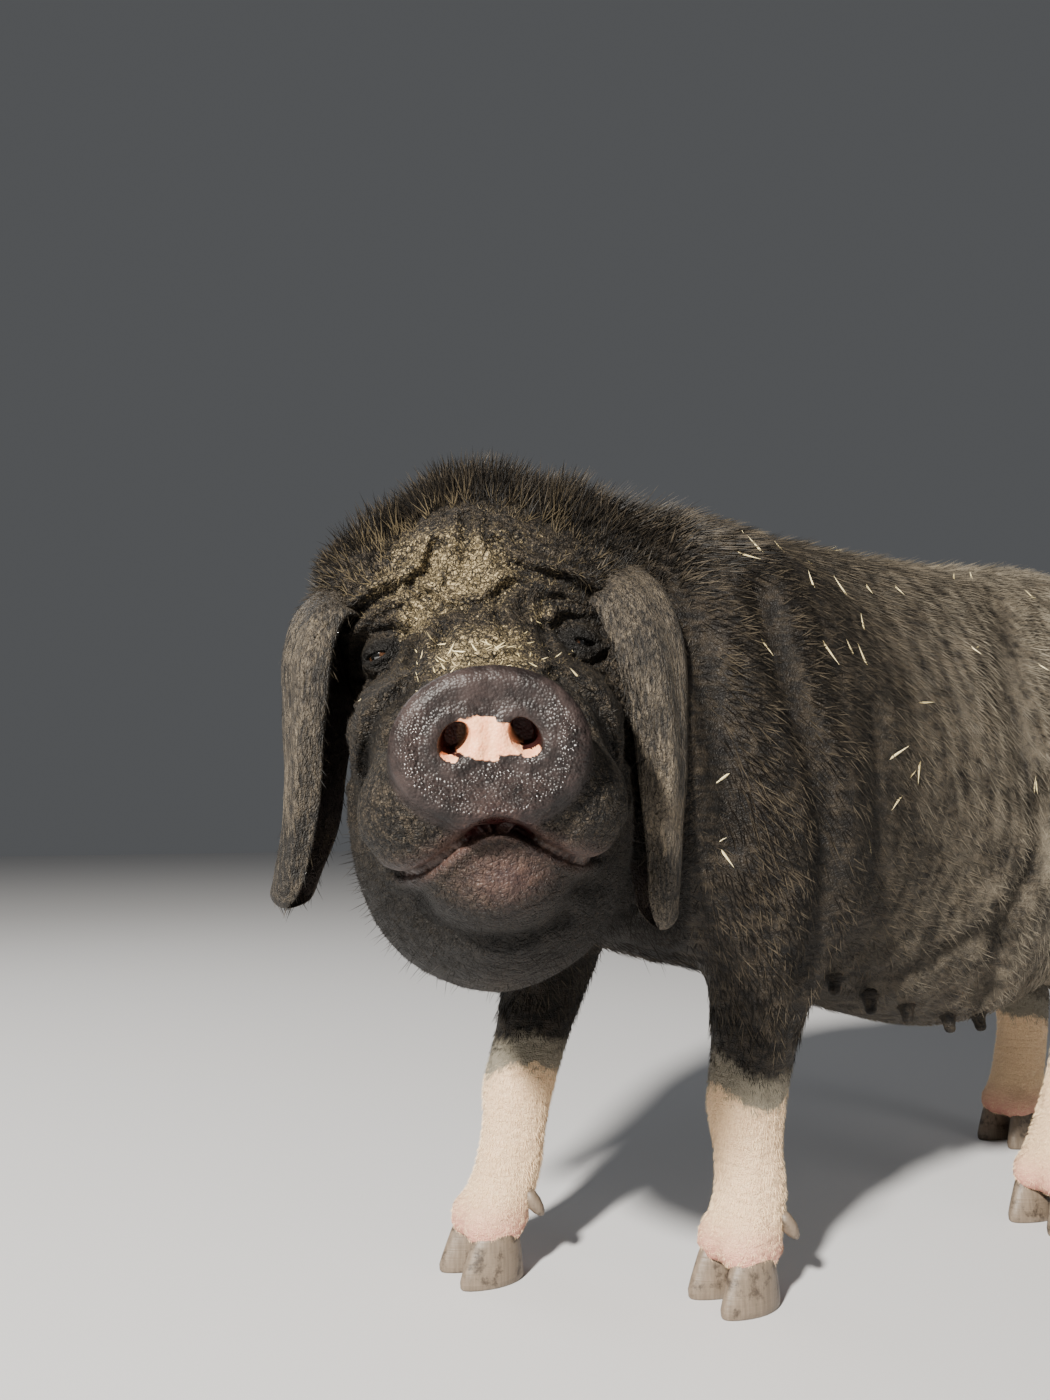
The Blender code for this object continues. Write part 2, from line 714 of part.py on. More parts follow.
def whole_skin():
    """All the flesh as one closed skin on the blended surface, with few faces where it is plain."""
    skin = add_object("skin", join_meshes("skin", rough_pieces()))
    voxel_fuse(skin, ROUGH_VOXEL)
    settle(skin.data, 6)
    voxel_fuse(skin, SKIN_VOXEL)
    settle(skin.data, 4)
    thin = skin.modifiers.new("thin", "DECIMATE")
    skin.data.calc_loop_triangles()
    thin.ratio = SKIN_TRIANGLES / len(skin.data.loop_triangles)
    bake(skin)
    plain = skin.vertex_groups.new(name="plain")
    for vert in skin.data.vertices:
        local = HEAD_FRAME.inverted() @ vert.co
        on_head = local.y < HEAD_CUT_Y - 0.01 and abs(local.x) < 0.13
        if not on_head and vert.co.z > 0.13:
            plain.add([vert.index], 1.0, "REPLACE")
    thin = skin.modifiers.new("thin_plain", "DECIMATE")
    thin.vertex_group = plain.name
    skin.data.calc_loop_triangles()
    thin.ratio = PLAIN_TRIANGLES / len(skin.data.loop_triangles)
    bake(skin)
    skin.vertex_groups.clear()
    return skin


def swollen(mesh, distance):
    """A copy of a mesh with each point moved out along its normal."""
    copy = mesh.copy()
    points = np.empty(len(mesh.vertices) * 3, np.float32)
    normals = np.empty(len(mesh.vertices) * 3, np.float32)
    mesh.vertices.foreach_get("co", points)
    mesh.vertices.foreach_get("normal", normals)
    copy.vertices.foreach_set("co", points + normals * distance)
    copy.update()
    return copy


def combine(thing, meshes, operation, solver="MANIFOLD"):
    """Fuses meshes into an object, or cuts them out of it, by one Boolean on a collection."""
    group = bpy.data.collections.new(operation.lower())
    bpy.context.scene.collection.children.link(group)
    for number, mesh in enumerate(meshes):
        member = bpy.data.objects.new(f"{operation.lower()}_{number}", mesh)
        member.hide_render = True
        member.display_type = "WIRE"
        group.objects.link(member)
    join = thing.modifiers.new("combine", "BOOLEAN")
    join.operation = operation
    join.solver = solver
    join.operand_type = "COLLECTION"
    join.collection = group
    bake(thing)
    for member in list(group.objects):
        bpy.data.objects.remove(member)
    bpy.data.collections.remove(group)


def closed_pieces(mesh):
    """The separate closed surfaces of a mesh as new meshes with their volumes, largest first."""
    whole = bmesh.new()
    whole.from_mesh(mesh)
    bmesh.ops.triangulate(whole, faces=whole.faces)
    unseen = set(whole.verts)
    found = []
    while unseen:
        start = unseen.pop()
        piece, edge_of = {start}, [start]
        while edge_of:
            for edge in edge_of.pop().link_edges:
                for vert in edge.verts:
                    if vert in unseen:
                        unseen.discard(vert)
                        piece.add(vert)
                        edge_of.append(vert)
        index = {vert: k for k, vert in enumerate(sorted(piece, key=lambda v: v.index))}
        points = [vert.co.copy() for vert in index]
        faces = [
            tuple(index[v] for v in face.verts) for face in whole.faces if face.verts[0] in index
        ]
        volume = sum(points[a].dot(points[b].cross(points[c])) for a, b, c in faces) / 6.0
        part = bpy.data.meshes.new("piece")
        part.from_pydata([tuple(p) for p in points], [], faces)
        found.append((volume, part))
    whole.free()
    return sorted(found, key=lambda item: -item[0])


def keep_largest(thing):
    """Leaves an object only its largest closed surface."""
    pieces = closed_pieces(thing.data)
    thing.data = pieces[0][1]


def box_mesh(name, low, high, frame=Matrix.Identity(4)):
    """A closed box between two corners, placed in a frame."""
    points = [
        frame @ Vector((x, y, z))
        for x in (low[0], high[0])
        for y in (low[1], high[1])
        for z in (low[2], high[2])
    ]
    faces = [(0, 1, 3, 2), (4, 6, 7, 5), (0, 4, 5, 1), (2, 3, 7, 6), (0, 2, 6, 4), (1, 5, 7, 3)]
    return mesh_from(name, points, faces)


def eye_frame(sign):
    """The frame of one eye, looking out along its own -Y."""
    return (
        HEAD_FRAME
        @ Matrix.Translation(Vector((EYE_CENTRE[0] * sign, *EYE_CENTRE[1:])))
        @ Matrix.Rotation(EYE_OUTWARD_TURN * sign, 4, "Z")
    )


def mouth_height(x):
    """Height of the line between the lips at a distance from the middle of the face."""
    return MOUTH_CORNER_Z + (MOUTH_MIDDLE_Z - MOUTH_CORNER_Z) * math.exp(-((x / MOUTH_ARCH_WIDTH) ** 2))


def mouth_gape(x, y):
    """Height of the gap between the lips: a fine cut that opens at the front and the middle."""
    lips = 0.0016 * float(smooth_step((-0.115 - y) / 0.03))
    middle = math.exp(-((x / 0.022) ** 2)) * float(smooth_step((-0.150 - y) / 0.025))
    return PART_GAP + lips + MOUTH_GAPE * middle


def mouth_cut():
    """The thin sheet that parts the lower jaw: along the lips, then down behind the chin."""
    rows = (-0.270, -0.215, -0.195, -0.175, -0.155, -0.135, -0.115, -0.085, MOUTH_BACK_Y)
    floor = -0.330
    rings = []
    for step in range(21):
        x = -0.125 + 0.0125 * step
        level = mouth_height(x)
        drop = (floor - level) * -JAW_WALL_LEAN
        above = [(y, level + mouth_gape(x, y) / 2) for y in rows]
        wall = [(MOUTH_BACK_Y + drop, floor), (MOUTH_BACK_Y + drop - PART_GAP * 1.1, floor)]
        below = [(y - PART_GAP * 1.1, level - mouth_gape(x, y) / 2) for y in reversed(rows)]
        rings.append([HEAD_FRAME @ Vector((x, y, z)) for y, z in above + wall + below])
    return loft("mouth", rings)


def tooth_mesh(sign, grow=0.0):
    """One lower front tooth, standing in the gape."""
    width, depth, height = TOOTH_SIZE
    frame = HEAD_FRAME @ Matrix.Translation(Vector((sign * (width / 2 + 0.0004), -0.186, -0.130)))
    rings = []
    for level, share in ((-grow, 1.0), (height * 0.6, 0.95), (height + grow, 0.62)):
        rings.append(
            ring(
                frame @ Vector((0, 0, level)),
                frame.to_3x3() @ Vector((width / 2 * share + grow, 0, 0)),
                frame.to_3x3() @ Vector((0, depth / 2 * share + grow, 0)),
                frame.to_3x3() @ Vector((0, -depth / 2 * share - grow, 0)),
                sides=8,
            )
        )
    return loft("tooth", rings)


def curve_through(points, shares):
    """Places at shares of the way along a smooth curve through points, with its directions."""
    knots = np.linspace(0.0, 1.0, len(points))
    table = np.column_stack([knots, np.array(points)])
    shares = np.array(shares)
    here = along_stations(table, shares)
    ahead = along_stations(table, np.minimum(shares + 0.01, 1.0))
    behind = along_stations(table, np.maximum(shares - 0.01, 0.0))
    return [
        (Vector(p), (Vector(a) - Vector(b)).normalized()) for p, a, b in zip(here, ahead, behind)
    ]


def ear_mesh(side):
    """One hanging ear: a cupped leaf whose hollow faces the cheek."""
    sign = 1.0 if side == "left" else -1.0
    count = 12
    shares = [math.sin(math.pi / 2 * k / (count - 1)) for k in range(count)]
    radii = np.array(EAR_CUP[side])
    cup = along_stations(np.column_stack([np.linspace(0, 1, len(radii)), radii]), np.array(shares))
    rings = []
    for (centre, heading), (out_radius, along_radius), share in zip(
        curve_through(EAR_PLACES[side], shares), cup, shares
    ):
        back = Vector((0.0, 1.0, 0.0))
        outward = heading.cross(back).normalized() * sign
        back = (back - heading * back.dot(heading)).normalized()
        thickness = EAR_THICKNESS[0] + (EAR_THICKNESS[1] - EAR_THICKNESS[0]) * share
        thickness = min(thickness, out_radius * 0.7)
        outer, inner = [], []
        for k in range(EAR_ARC_POINTS):
            across = k / (EAR_ARC_POINTS - 1)
            turn = EAR_FRONT_TURN + (EAR_REAR_TURN - EAR_FRONT_TURN) * across
            edge = 1.0 - 0.62 * abs(2.0 * across - 1.0) ** 4
            for reach, line in ((0.0, outer), (thickness * edge, inner)):
                x = (out_radius - reach) * math.cos(turn)
                y = (along_radius - reach) * math.sin(turn)
                line.append(HEAD_FRAME @ (centre + outward * (x - out_radius) + back * y))
        rings.append(outer + inner[::-1])
    return loft(f"ear_{side}", rings)


def hoof_mesh(foot, sign, grow=0.0):
    """One hoof of a foot, flat underneath."""
    turn = HOOF_SPLAY * sign
    rings = []
    for z, y, half_width, half_length in HOOF_LEVELS:
        z = z + (grow if z == HOOF_LEVELS[-1][0] else -grow if z == 0.0 else 0.0)
        centre = Vector((foot[0], foot[1], z)) + Matrix.Rotation(turn, 3, "Z") @ Vector(
            (sign * HOOF_HALF_SPACING, y, 0)
        )
        points = []
        for k in range(HOOF_SIDES):
            around = 2.0 * math.pi * (k + 0.5) / HOOF_SIDES
            across, along = math.cos(around), math.sin(around)
            narrow = 1.0 - 0.22 * max(0.0, -along)
            offset = Vector(
                ((half_width + grow) * across * narrow, (half_length + grow) * along, 0.0)
            )
            points.append(centre + Matrix.Rotation(turn, 3, "Z") @ offset)
        rings.append(points)
    return loft("hoof", rings)


def dewclaw_mesh(foot, sign, grow=0.0):
    """One small claw behind the foot, pointing down and back."""
    top = Vector((foot[0] + sign * DEWCLAW_PLACE[0], foot[1] + DEWCLAW_PLACE[1] - 0.012, DEWCLAW_PLACE[2]))
    heading = Vector((0.18 * sign, 0.55, -0.80)).normalized()
    side = Vector((1.0, 0.0, 0.0))
    side = (side - heading * side.dot(heading)).normalized()
    up = heading.cross(side)
    rings = []
    for share, swell in ((0.0, 0.8), (0.5, 1.0), (1.0, 0.35)):
        reach = DEWCLAW_RADIUS * swell + grow
        place = share * DEWCLAW_LENGTH + (grow if share == 1.0 else -grow if share == 0.0 else 0.0)
        rings.append(
            ring(top + heading * place, side * reach, up * reach * 0.8, up * -reach * 0.8, sides=6)
        )
    return loft("dewclaw", rings)


def tail_mesh():
    """The hanging tail."""
    shares = [k / 7 for k in range(8)]
    radii = along_stations(
        np.column_stack([np.linspace(0, 1, len(TAIL_RADII)), np.array(TAIL_RADII)[:, None]]),
        np.array(shares),
    )[:, 0]
    rings = []
    for (centre, heading), radius in zip(curve_through(TAIL_PLACES, shares), radii):
        side = Vector((1.0, 0.0, 0.0))
        side = (side - heading * side.dot(heading)).normalized()
        up = heading.cross(side) * float(radius)
        rings.append(ring(centre, side * float(radius), up, -up, sides=7))
    return loft("tail", rings)


def lock_mesh(root, heading, normal, length, width, thickness, curl):
    """One flat tapered bristle lock that bends towards its normal's far side."""
    side = heading.cross(normal).normalized()
    lift = side.cross(heading).normalized()
    sections, faces = [], []
    for share, taper in LOCK_TAPER:
        centre = root + heading * (length * share - LOCK_SINK * (1 - share)) - lift * curl * share**2
        across = side * width / 2 * taper
        up = lift * thickness / 2 * (0.5 + 0.5 * taper)
        sections += [centre + across, centre + up, centre - across, centre - up]
    tip = root + heading * length - lift * curl
    for row in range(2):
        for k in range(4):
            a, b = row * 4 + k, row * 4 + (k + 1) % 4
            faces.append((a, b, b + 4, a + 4))
    faces += [(0, 1, 2, 3)] + [(8 + k, 8 + (k + 1) % 4, 12) for k in range(4)]
    return mesh_from("lock", sections + [tip], faces)


def crest_line():
    """Level places along the topline, from the top of the brow over the poll and neck to the rump."""
    places = [HEAD_FRAME @ Vector((0.010, y, 0.12)) for y in (0.020, 0.060, 0.105)]
    middle = (places[-1] + Vector((float(spine_x(-0.21)), -0.21, 0.6))) / 2
    places += [middle + Vector((-0.006, 0.004, 0.0))]
    places += [Vector((float(spine_x(y)), y, 0.6)) for y in (-0.21, -0.10, 0.02, 0.14, 0.26, 0.36)]
    return [(p.x, p.y, 0.0) for p in places]


def crest_locks(skin):
    """Bristle locks on the skin's topline, rooted where a drop from above meets it."""
    tree = BVHTree.FromPolygons(
        [v.co.copy() for v in skin.data.vertices], [tuple(f.vertices) for f in skin.data.polygons]
    )
    line = crest_line()
    draw = np.random.default_rng(LOCK_SEED)
    locks = []
    for name, start, end, along, across, spacing, length, lean in CREST_STRETCHES:
        for row in range(along):
            for column in range(across):
                stagger = 0.5 if row % 2 else 0.0
                share = start + (end - start) * (row + 0.5 + draw.uniform(-0.18, 0.18)) / along
                (place, heading), = curve_through(line, [share])
                sideways = Vector((-heading.y, heading.x, 0.0))
                offset = (column - (across - 1) / 2 + stagger * 0.5) * spacing
                place = place + sideways * (offset + draw.uniform(-0.004, 0.004))
                root, normal, _, _ = tree.ray_cast(Vector((place.x, place.y, 1.2)), Vector((0, 0, -1)))
                back = (heading - normal * heading.dot(normal)).normalized()
                tilt = math.radians(lean + draw.uniform(-9, 9))
                outward = normal * math.cos(tilt) + back * math.sin(tilt)
                outward = (outward + sideways * draw.uniform(-0.15, 0.15)).normalized()
                reach = length * draw.uniform(0.88, 1.1)
                lift = (normal - outward * normal.dot(outward)).normalized()
                locks.append(
                    lock_mesh(
                        root, outward, lift, reach, LOCK_WIDTH, LOCK_THICKNESS, reach * LOCK_CURL
                    )
                )
    return locks


def switch_locks():
    """The locks at the tail's tip."""
    root = Vector(TAIL_PLACES[-1])
    draw = np.random.default_rng(LOCK_SEED + 1)
    locks = []
    for k in range(SWITCH_LOCKS):
        around = 2.0 * math.pi * (k + draw.uniform(-0.2, 0.2)) / SWITCH_LOCKS
        out = Vector((math.cos(around), math.sin(around), 0.0))
        start = root + out * 0.003 + Vector((0, 0, 0.006 + 0.014 * (k % 3) + draw.uniform(0, 0.004)))
        heading = (out * draw.uniform(0.18, 0.30) + Vector((0, 0, -1))).normalized()
        reach = draw.uniform(0.055, 0.070)
        locks.append(lock_mesh(start, heading, out, reach, 0.012, 0.0042, 0.008))
    return locks


def teat_meshes(skin):
    """Teats on the belly, in two lines."""
    tree = BVHTree.FromPolygons(
        [v.co.copy() for v in skin.data.vertices], [tuple(f.vertices) for f in skin.data.polygons]
    )
    made = []
    for k in range(TEAT_PAIRS):
        y = TEAT_SPAN[0] + (TEAT_SPAN[1] - TEAT_SPAN[0]) * k / (TEAT_PAIRS - 1)
        for sign in (1.0, -1.0):
            x = sign * TEAT_HALF_SPACING + float(spine_x(np.array(y)))
            root, normal, _, _ = tree.ray_cast(Vector((x, y, -0.5)), Vector((0, 0, 1)))
            heading = (normal + Vector((0.2 * sign, 0, -0.6))).normalized()
            side = heading.cross(Vector((0, 1, 0))).normalized()
            up = heading.cross(side)
            rings = []
            for share, swell in ((-0.5, 1.5), (0.35, 1.0), (1.0, 0.6)):
                reach = TEAT_RADIUS * swell
                rings.append(
                    ring(root + heading * TEAT_LENGTH * share, side * reach, up * reach, -up * reach, 5)
                )
            made.append(loft("teat", rings))
    return made


def face_cutters():
    """The nostrils, the slits between the lids and the sockets behind them."""
    cutters = []
    for sign in (1.0, -1.0):
        place = Vector((NOSTRIL_CENTRE[0] * sign, *NOSTRIL_CENTRE[1:]))
        frame = HEAD_FRAME @ Matrix.Translation(place) @ Matrix.Rotation(-NOSTRIL_SLANT * sign, 4, "Y")
        frame = frame @ Matrix.Rotation(math.radians(-14.0) * sign, 4, "Z")
        cutters.append(ellipsoid("nostril", (0, 0, 0), NOSTRIL_RADII, frame, 12))
        frame = eye_frame(sign) @ Matrix.Rotation(EYE_SLIT_SLANT * sign, 4, "Y")
        cutters.append(ellipsoid("slit", (0, -0.016, 0), EYE_SLIT, frame, 12))
        cutters.append(
            ellipsoid("socket", (0, 0, 0), (EYE_RADIUS + 2 * PART_GAP,) * 3, eye_frame(sign), 14)
        )
    return cutters


def parting_cuts():
    """The thin sheets that part legs, neck, head and lower jaw from each other."""
    half = PART_GAP / 2
    cuts = []
    for limb, foot in FOOT_PLACES.items():
        z = LEG_CUT_HEIGHT[limb[:4]]
        x, y = limb_line(limb, np.array(z))
        centre = Vector((float(x), float(y) + 0.012, z))
        low = centre - Vector((LEG_CUT_REACH, LEG_CUT_REACH + 0.012, half))
        high = centre + Vector((LEG_CUT_REACH + 0.02, LEG_CUT_REACH + 0.012, half))
        if limb.endswith("right"):
            low.x, high.x = centre.x - LEG_CUT_REACH - 0.02, centre.x + LEG_CUT_REACH
        cuts.append(box_mesh("leg_cut", low, high))
    turn = NECK_CUT_NORMAL.to_track_quat("Z", "Y").to_matrix().to_4x4()
    frame = Matrix.Translation(NECK_CUT_POINT) @ turn
    cuts.append(box_mesh("neck_cut", (-0.6, -0.6, -half), (0.6, 0.6, half), frame))
    wide, back = HEAD_CUT_HALF_WIDTH, HEAD_CUT_Y
    cuts.append(box_mesh("head_cut", (-wide, back, -0.4), (wide, back + PART_GAP, 0.4), HEAD_FRAME))
    for sign in (1.0, -1.0):
        cuts.append(
            box_mesh(
                "head_side_cut",
                (sign * wide - half, -0.4, -0.4),
                (sign * wide + half, back + PART_GAP, 0.4),
                HEAD_FRAME,
            )
        )
    cuts.append(mouth_cut())
    return cuts


def flesh_seeds():
    """Where the middle of each parted piece of flesh lies."""
    seeds = {
        "torso": Vector((0.0, 0.06, 0.43)),
        "neck": Vector((0.03, -0.35, 0.50)),
        "head": HEAD_FRAME @ Vector((0.0, 0.0, 0.0)),
        "lower_jaw": HEAD_FRAME @ Vector((0.0, -0.10, -0.19)),
    }
    for limb, foot in FOOT_PLACES.items():
        kind, side = limb.split("_")
        seeds[f"leg_{kind}_{side}"] = Vector((foot[0], foot[1], 0.12))
    return seeds


def part_flesh(skin, coat):
    """Parts the skin along the thin cuts and names each piece."""
    combine(skin, parting_cuts(), "DIFFERENCE")
    pieces = [mesh for volume, mesh in closed_pieces(skin.data) if volume > 2e-5]
    made = {}
    for name, seed in flesh_seeds().items():
        nearest = min(
            pieces, key=lambda m: (sum((v.co for v in m.vertices), Vector()) / len(m.vertices) - seed).length
        )
        made[name] = add_object(name, nearest, coat)
        pieces.remove(nearest)
    bpy.data.objects.remove(skin)
    return made


def settle_on_origin():
    """Moves every node so that the whole stands centred on the origin."""
    things = [thing for thing in bpy.data.objects if thing.type == "MESH"]
    low = [min(v.co[k] for thing in things for v in thing.data.vertices) for k in range(2)]
    high = [max(v.co[k] for thing in things for v in thing.data.vertices) for k in range(2)]
    shift = Vector((-(low[0] + high[0]) / 2, -(low[1] + high[1]) / 2, 0.0))
    for thing in things:
        thing.data.transform(Matrix.Translation(shift))
    return shift


def main():
    """Builds every node."""
    for old in list(bpy.data.objects):
        bpy.data.objects.remove(old)
    coat = finish("coat_black", (0.045, 0.040, 0.038), 0.75)
    ear_skin = finish("ear_grey", (0.075, 0.066, 0.062), 0.75)
    eye = finish("eye_dark", (0.020, 0.012, 0.008), 0.15)
    horn = finish("hoof_horn", (0.30, 0.22, 0.16), 0.50)
    enamel = finish("tooth_ivory", (0.75, 0.68, 0.52), 0.35)

    skin = whole_skin()
    wall = swollen(skin.data, PART_GAP * 1.5)
    claws = []
    cutters = face_cutters()
    for limb, foot in FOOT_PLACES.items():
        for sign, place in ((1.0, "a"), (-1.0, "b")):
            claws.append((f"hoof_{limb}_{place}", hoof_mesh(foot, sign)))
            claws.append((f"dewclaw_{limb}_{place}", dewclaw_mesh(foot, sign)))
            cutters.append(hoof_mesh(foot, sign, PART_GAP * 2.2))
            cutters.append(dewclaw_mesh(foot, sign, PART_GAP * 1.5))
    growths = crest_locks(skin) + teat_meshes(skin)
    combine(skin, growths, "UNION")
    keep_largest(skin)
    combine(skin, cutters, "DIFFERENCE")
    keep_largest(skin)
    flesh = part_flesh(skin, coat)
    combine(flesh["lower_jaw"], [tooth_mesh(sign, PART_GAP) for sign in (1.0, -1.0)], "DIFFERENCE")
    keep_largest(flesh["lower_jaw"])
    flesh["lower_jaw"].data.materials.append(coat)

    for side in ("left", "right"):
        ear = add_object(f"ear_{side}", ear_mesh(side))
        combine(ear, [wall.copy()], "DIFFERENCE")
        keep_largest(ear)
        ear.data.materials.append(ear_skin)
    tail = add_object("tail", tail_mesh())
    combine(tail, switch_locks(), "UNION")
    combine(tail, [wall.copy()], "DIFFERENCE")
    keep_largest(tail)
    tail.data.materials.append(coat)

    for name, mesh in claws:
        add_object(name, mesh, horn)
    for side, sign in (("left", 1.0), ("right", -1.0)):
        add_object(f"eye_{side}", ellipsoid("eye", (0, 0, 0), (EYE_RADIUS,) * 3, eye_frame(sign), 12), eye)
        add_object(f"tooth_{side}", tooth_mesh(sign), enamel)
    settle_on_origin()
    for thing in bpy.data.objects:
        thing.data.shade_smooth()
        thing.data.set_sharp_from_angle(angle=math.radians(50.0))


main()
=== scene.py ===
"""Adult black Meishan sow in mid step, head turned to its left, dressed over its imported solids.

The flesh nodes are replaced by one skin, which is drawn onto the same blended form as the solids and
carries finer folds, lids, lips and nostrils. Bristles, ears, eyes, hooves and claws are pieces of
their own. Lengths are in metres.
"""

import logging
import math
from contextlib import contextmanager
from dataclasses import dataclass, field
from enum import Enum
from typing import Callable, Dict, Iterator, List, Optional, Sequence, Tuple

import bmesh
import bpy
import numpy as np
from mathutils import Matrix, Vector
from mathutils.bvhtree import BVHTree


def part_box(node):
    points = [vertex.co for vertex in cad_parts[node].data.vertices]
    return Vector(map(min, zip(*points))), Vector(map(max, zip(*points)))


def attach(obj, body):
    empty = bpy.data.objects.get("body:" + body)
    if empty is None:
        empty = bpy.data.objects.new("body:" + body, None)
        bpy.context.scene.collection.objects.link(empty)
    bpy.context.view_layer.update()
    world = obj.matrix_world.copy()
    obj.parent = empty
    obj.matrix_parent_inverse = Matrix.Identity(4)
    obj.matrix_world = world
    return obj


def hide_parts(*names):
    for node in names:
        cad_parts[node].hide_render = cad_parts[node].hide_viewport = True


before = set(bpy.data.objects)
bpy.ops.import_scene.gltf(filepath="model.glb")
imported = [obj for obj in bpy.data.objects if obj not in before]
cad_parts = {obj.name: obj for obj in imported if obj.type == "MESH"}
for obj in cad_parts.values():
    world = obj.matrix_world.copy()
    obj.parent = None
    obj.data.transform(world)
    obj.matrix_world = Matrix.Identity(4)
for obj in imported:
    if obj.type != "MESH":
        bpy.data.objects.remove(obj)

log = logging.getLogger("sow")
Array = np.ndarray
Pair = Tuple[float, float]
Triple = Tuple[float, float, float]
Mesh, Object = bpy.types.Mesh, bpy.types.Object
Material, Socket = bpy.types.Material, bpy.types.NodeSocket
FULL_TURN = 2.0 * math.pi
# The marks that the hide reads from a mesh; on the tail they are all zero.
MARKS = ("sock", "snout", "pink", "dust", "lip", "cavity", "rubbed", "flank", "wet", "face", "toe")


class Limb(Enum):
    """The four legs."""

    FORE_LEFT = "fore_left"
    FORE_RIGHT = "fore_right"
    HIND_LEFT = "hind_left"
    HIND_RIGHT = "hind_right"


class Side(Enum):
    """The sow's own left and right, by the sign of x."""

    LEFT = 1.0
    RIGHT = -1.0


@dataclass(frozen=True)
class Mass:
    """A rounded mass of flesh: where it lies, how large it is and how softly it blends in."""

    name: str
    centre: Triple
    radii: Triple
    softness: float


@dataclass(frozen=True)
class Fold:
    """A crease of the face, seen from the front: its points of x and z, and the y it lies near."""

    name: str
    points: Tuple[Pair, ...]
    place: float
    half_width: float
    depth: float
    paired: bool = True
    ridge: float = 0.35


@dataclass(frozen=True)
class BodyCrease:
    """A crease of the body along world points."""

    name: str
    points: Tuple[Triple, ...]
    half_width: float
    depth: float


def smooth_step(value: Array) -> Array:
    """Zero below 0, one above 1 and smooth between."""
    t = np.clip(value, 0.0, 1.0)
    return t * t * (3.0 - 2.0 * t)


def hill(*offsets: Array) -> Array:
    """A bell curve: one where every offset is zero, about a third where they reach one."""
    return np.exp(-sum(offset**2 for offset in offsets))


def along_stations(stations: Sequence, place: Array) -> Array:
    """Reads every column of a station table on smooth curves through the stations.

    Args:
        stations: Rows whose first number is the place.
        place: Where to read.

    Returns:
        One row of the other columns for each place.
    """
    table = np.array(stations, float)
    table = table[np.argsort(table[:, 0])]
    knots, values = table[:, 0], table[:, 1:]
    slopes = np.gradient(values, knots, axis=0)
    place = np.clip(place, knots[0], knots[-1])
    k = np.clip(np.searchsorted(knots, place) - 1, 0, len(knots) - 2)
    width = knots[k + 1] - knots[k]
    t = ((place - knots[k]) / width)[:, None]
    width = width[:, None]
    return (
        values[k] * (1 + 2 * t) * (1 - t) ** 2
        + slopes[k] * width * t * (1 - t) ** 2
        + values[k + 1] * t * t * (3 - 2 * t)
        + slopes[k + 1] * width * t * t * (t - 1)
    )


def oval_distance(
    across: Array, along: Array, half_across: Array, half_along: Array
) -> Array:
    """About how far points lie outside an oval section."""
    half_across = np.maximum(half_across, 0.004)
    half_along = np.maximum(half_along, 0.004)
    u, v = across / half_across, along / half_along
    size = np.hypot(u, v) + 1e-9
    slope = np.hypot(u / half_across, v / half_along) + 1e-9
    return size * (size - 1.0) / slope


def ellipsoid_distance(local: Array, radii: Sequence[float]) -> Array:
    """About how far points lie outside an ellipsoid at the origin."""
    size = np.linalg.norm(local / np.array(radii), axis=1) + 1e-9
    slope = np.linalg.norm(local / np.array(radii) ** 2, axis=1) + 1e-9
    return size * (size - 1.0) / slope


def blend(first: Array, second: Array, softness: float) -> Array:
    """The union of two distances with a soft inner corner."""
    share = np.clip(0.5 + 0.5 * (second - first) / softness, 0.0, 1.0)
    return second + (first - second) * share - softness * share * (1.0 - share)


def into_frame(points: Array, place: Matrix) -> Array:
    """World points read in a frame."""
    inverse = np.array(place.inverted())
    return points @ inverse[:3, :3].T + inverse[:3, 3]


def path_distance(
    across: Array, up: Array, points: Sequence[Pair]
) -> Array:
    """How far places seen from the front lie from a path of x and z."""
    nearest = np.full(across.shape, 1.0)
    for (ax, az), (bx, bz) in zip(points, points[1:]):
        run, rise = bx - ax, bz - az
        share = ((across - ax) * run + (up - az) * rise) / (run * run + rise * rise)
        share = np.clip(share, 0, 1)
        nearest = np.minimum(nearest, np.hypot(across - ax - run * share, up - az - rise * share))
    return nearest


def line_distance(points: Array, line: Sequence[Triple]) -> Array:
    """How far points lie from a line through world places."""
    nearest = np.full(len(points), 1.0)
    for a, b in zip(line, line[1:]):
        start, run = np.array(a), np.array(b) - np.array(a)
        share = np.clip((points - start) @ run / (run @ run), 0, 1)
        nearest = np.minimum(nearest, np.linalg.norm(points - start - share[:, None] * run, axis=1))
    return nearest


def mirrored(place: Triple, side: Side) -> Array:
    """A place of the left side, on either side."""
    return np.array((place[0] * side.value, *place[1:]))


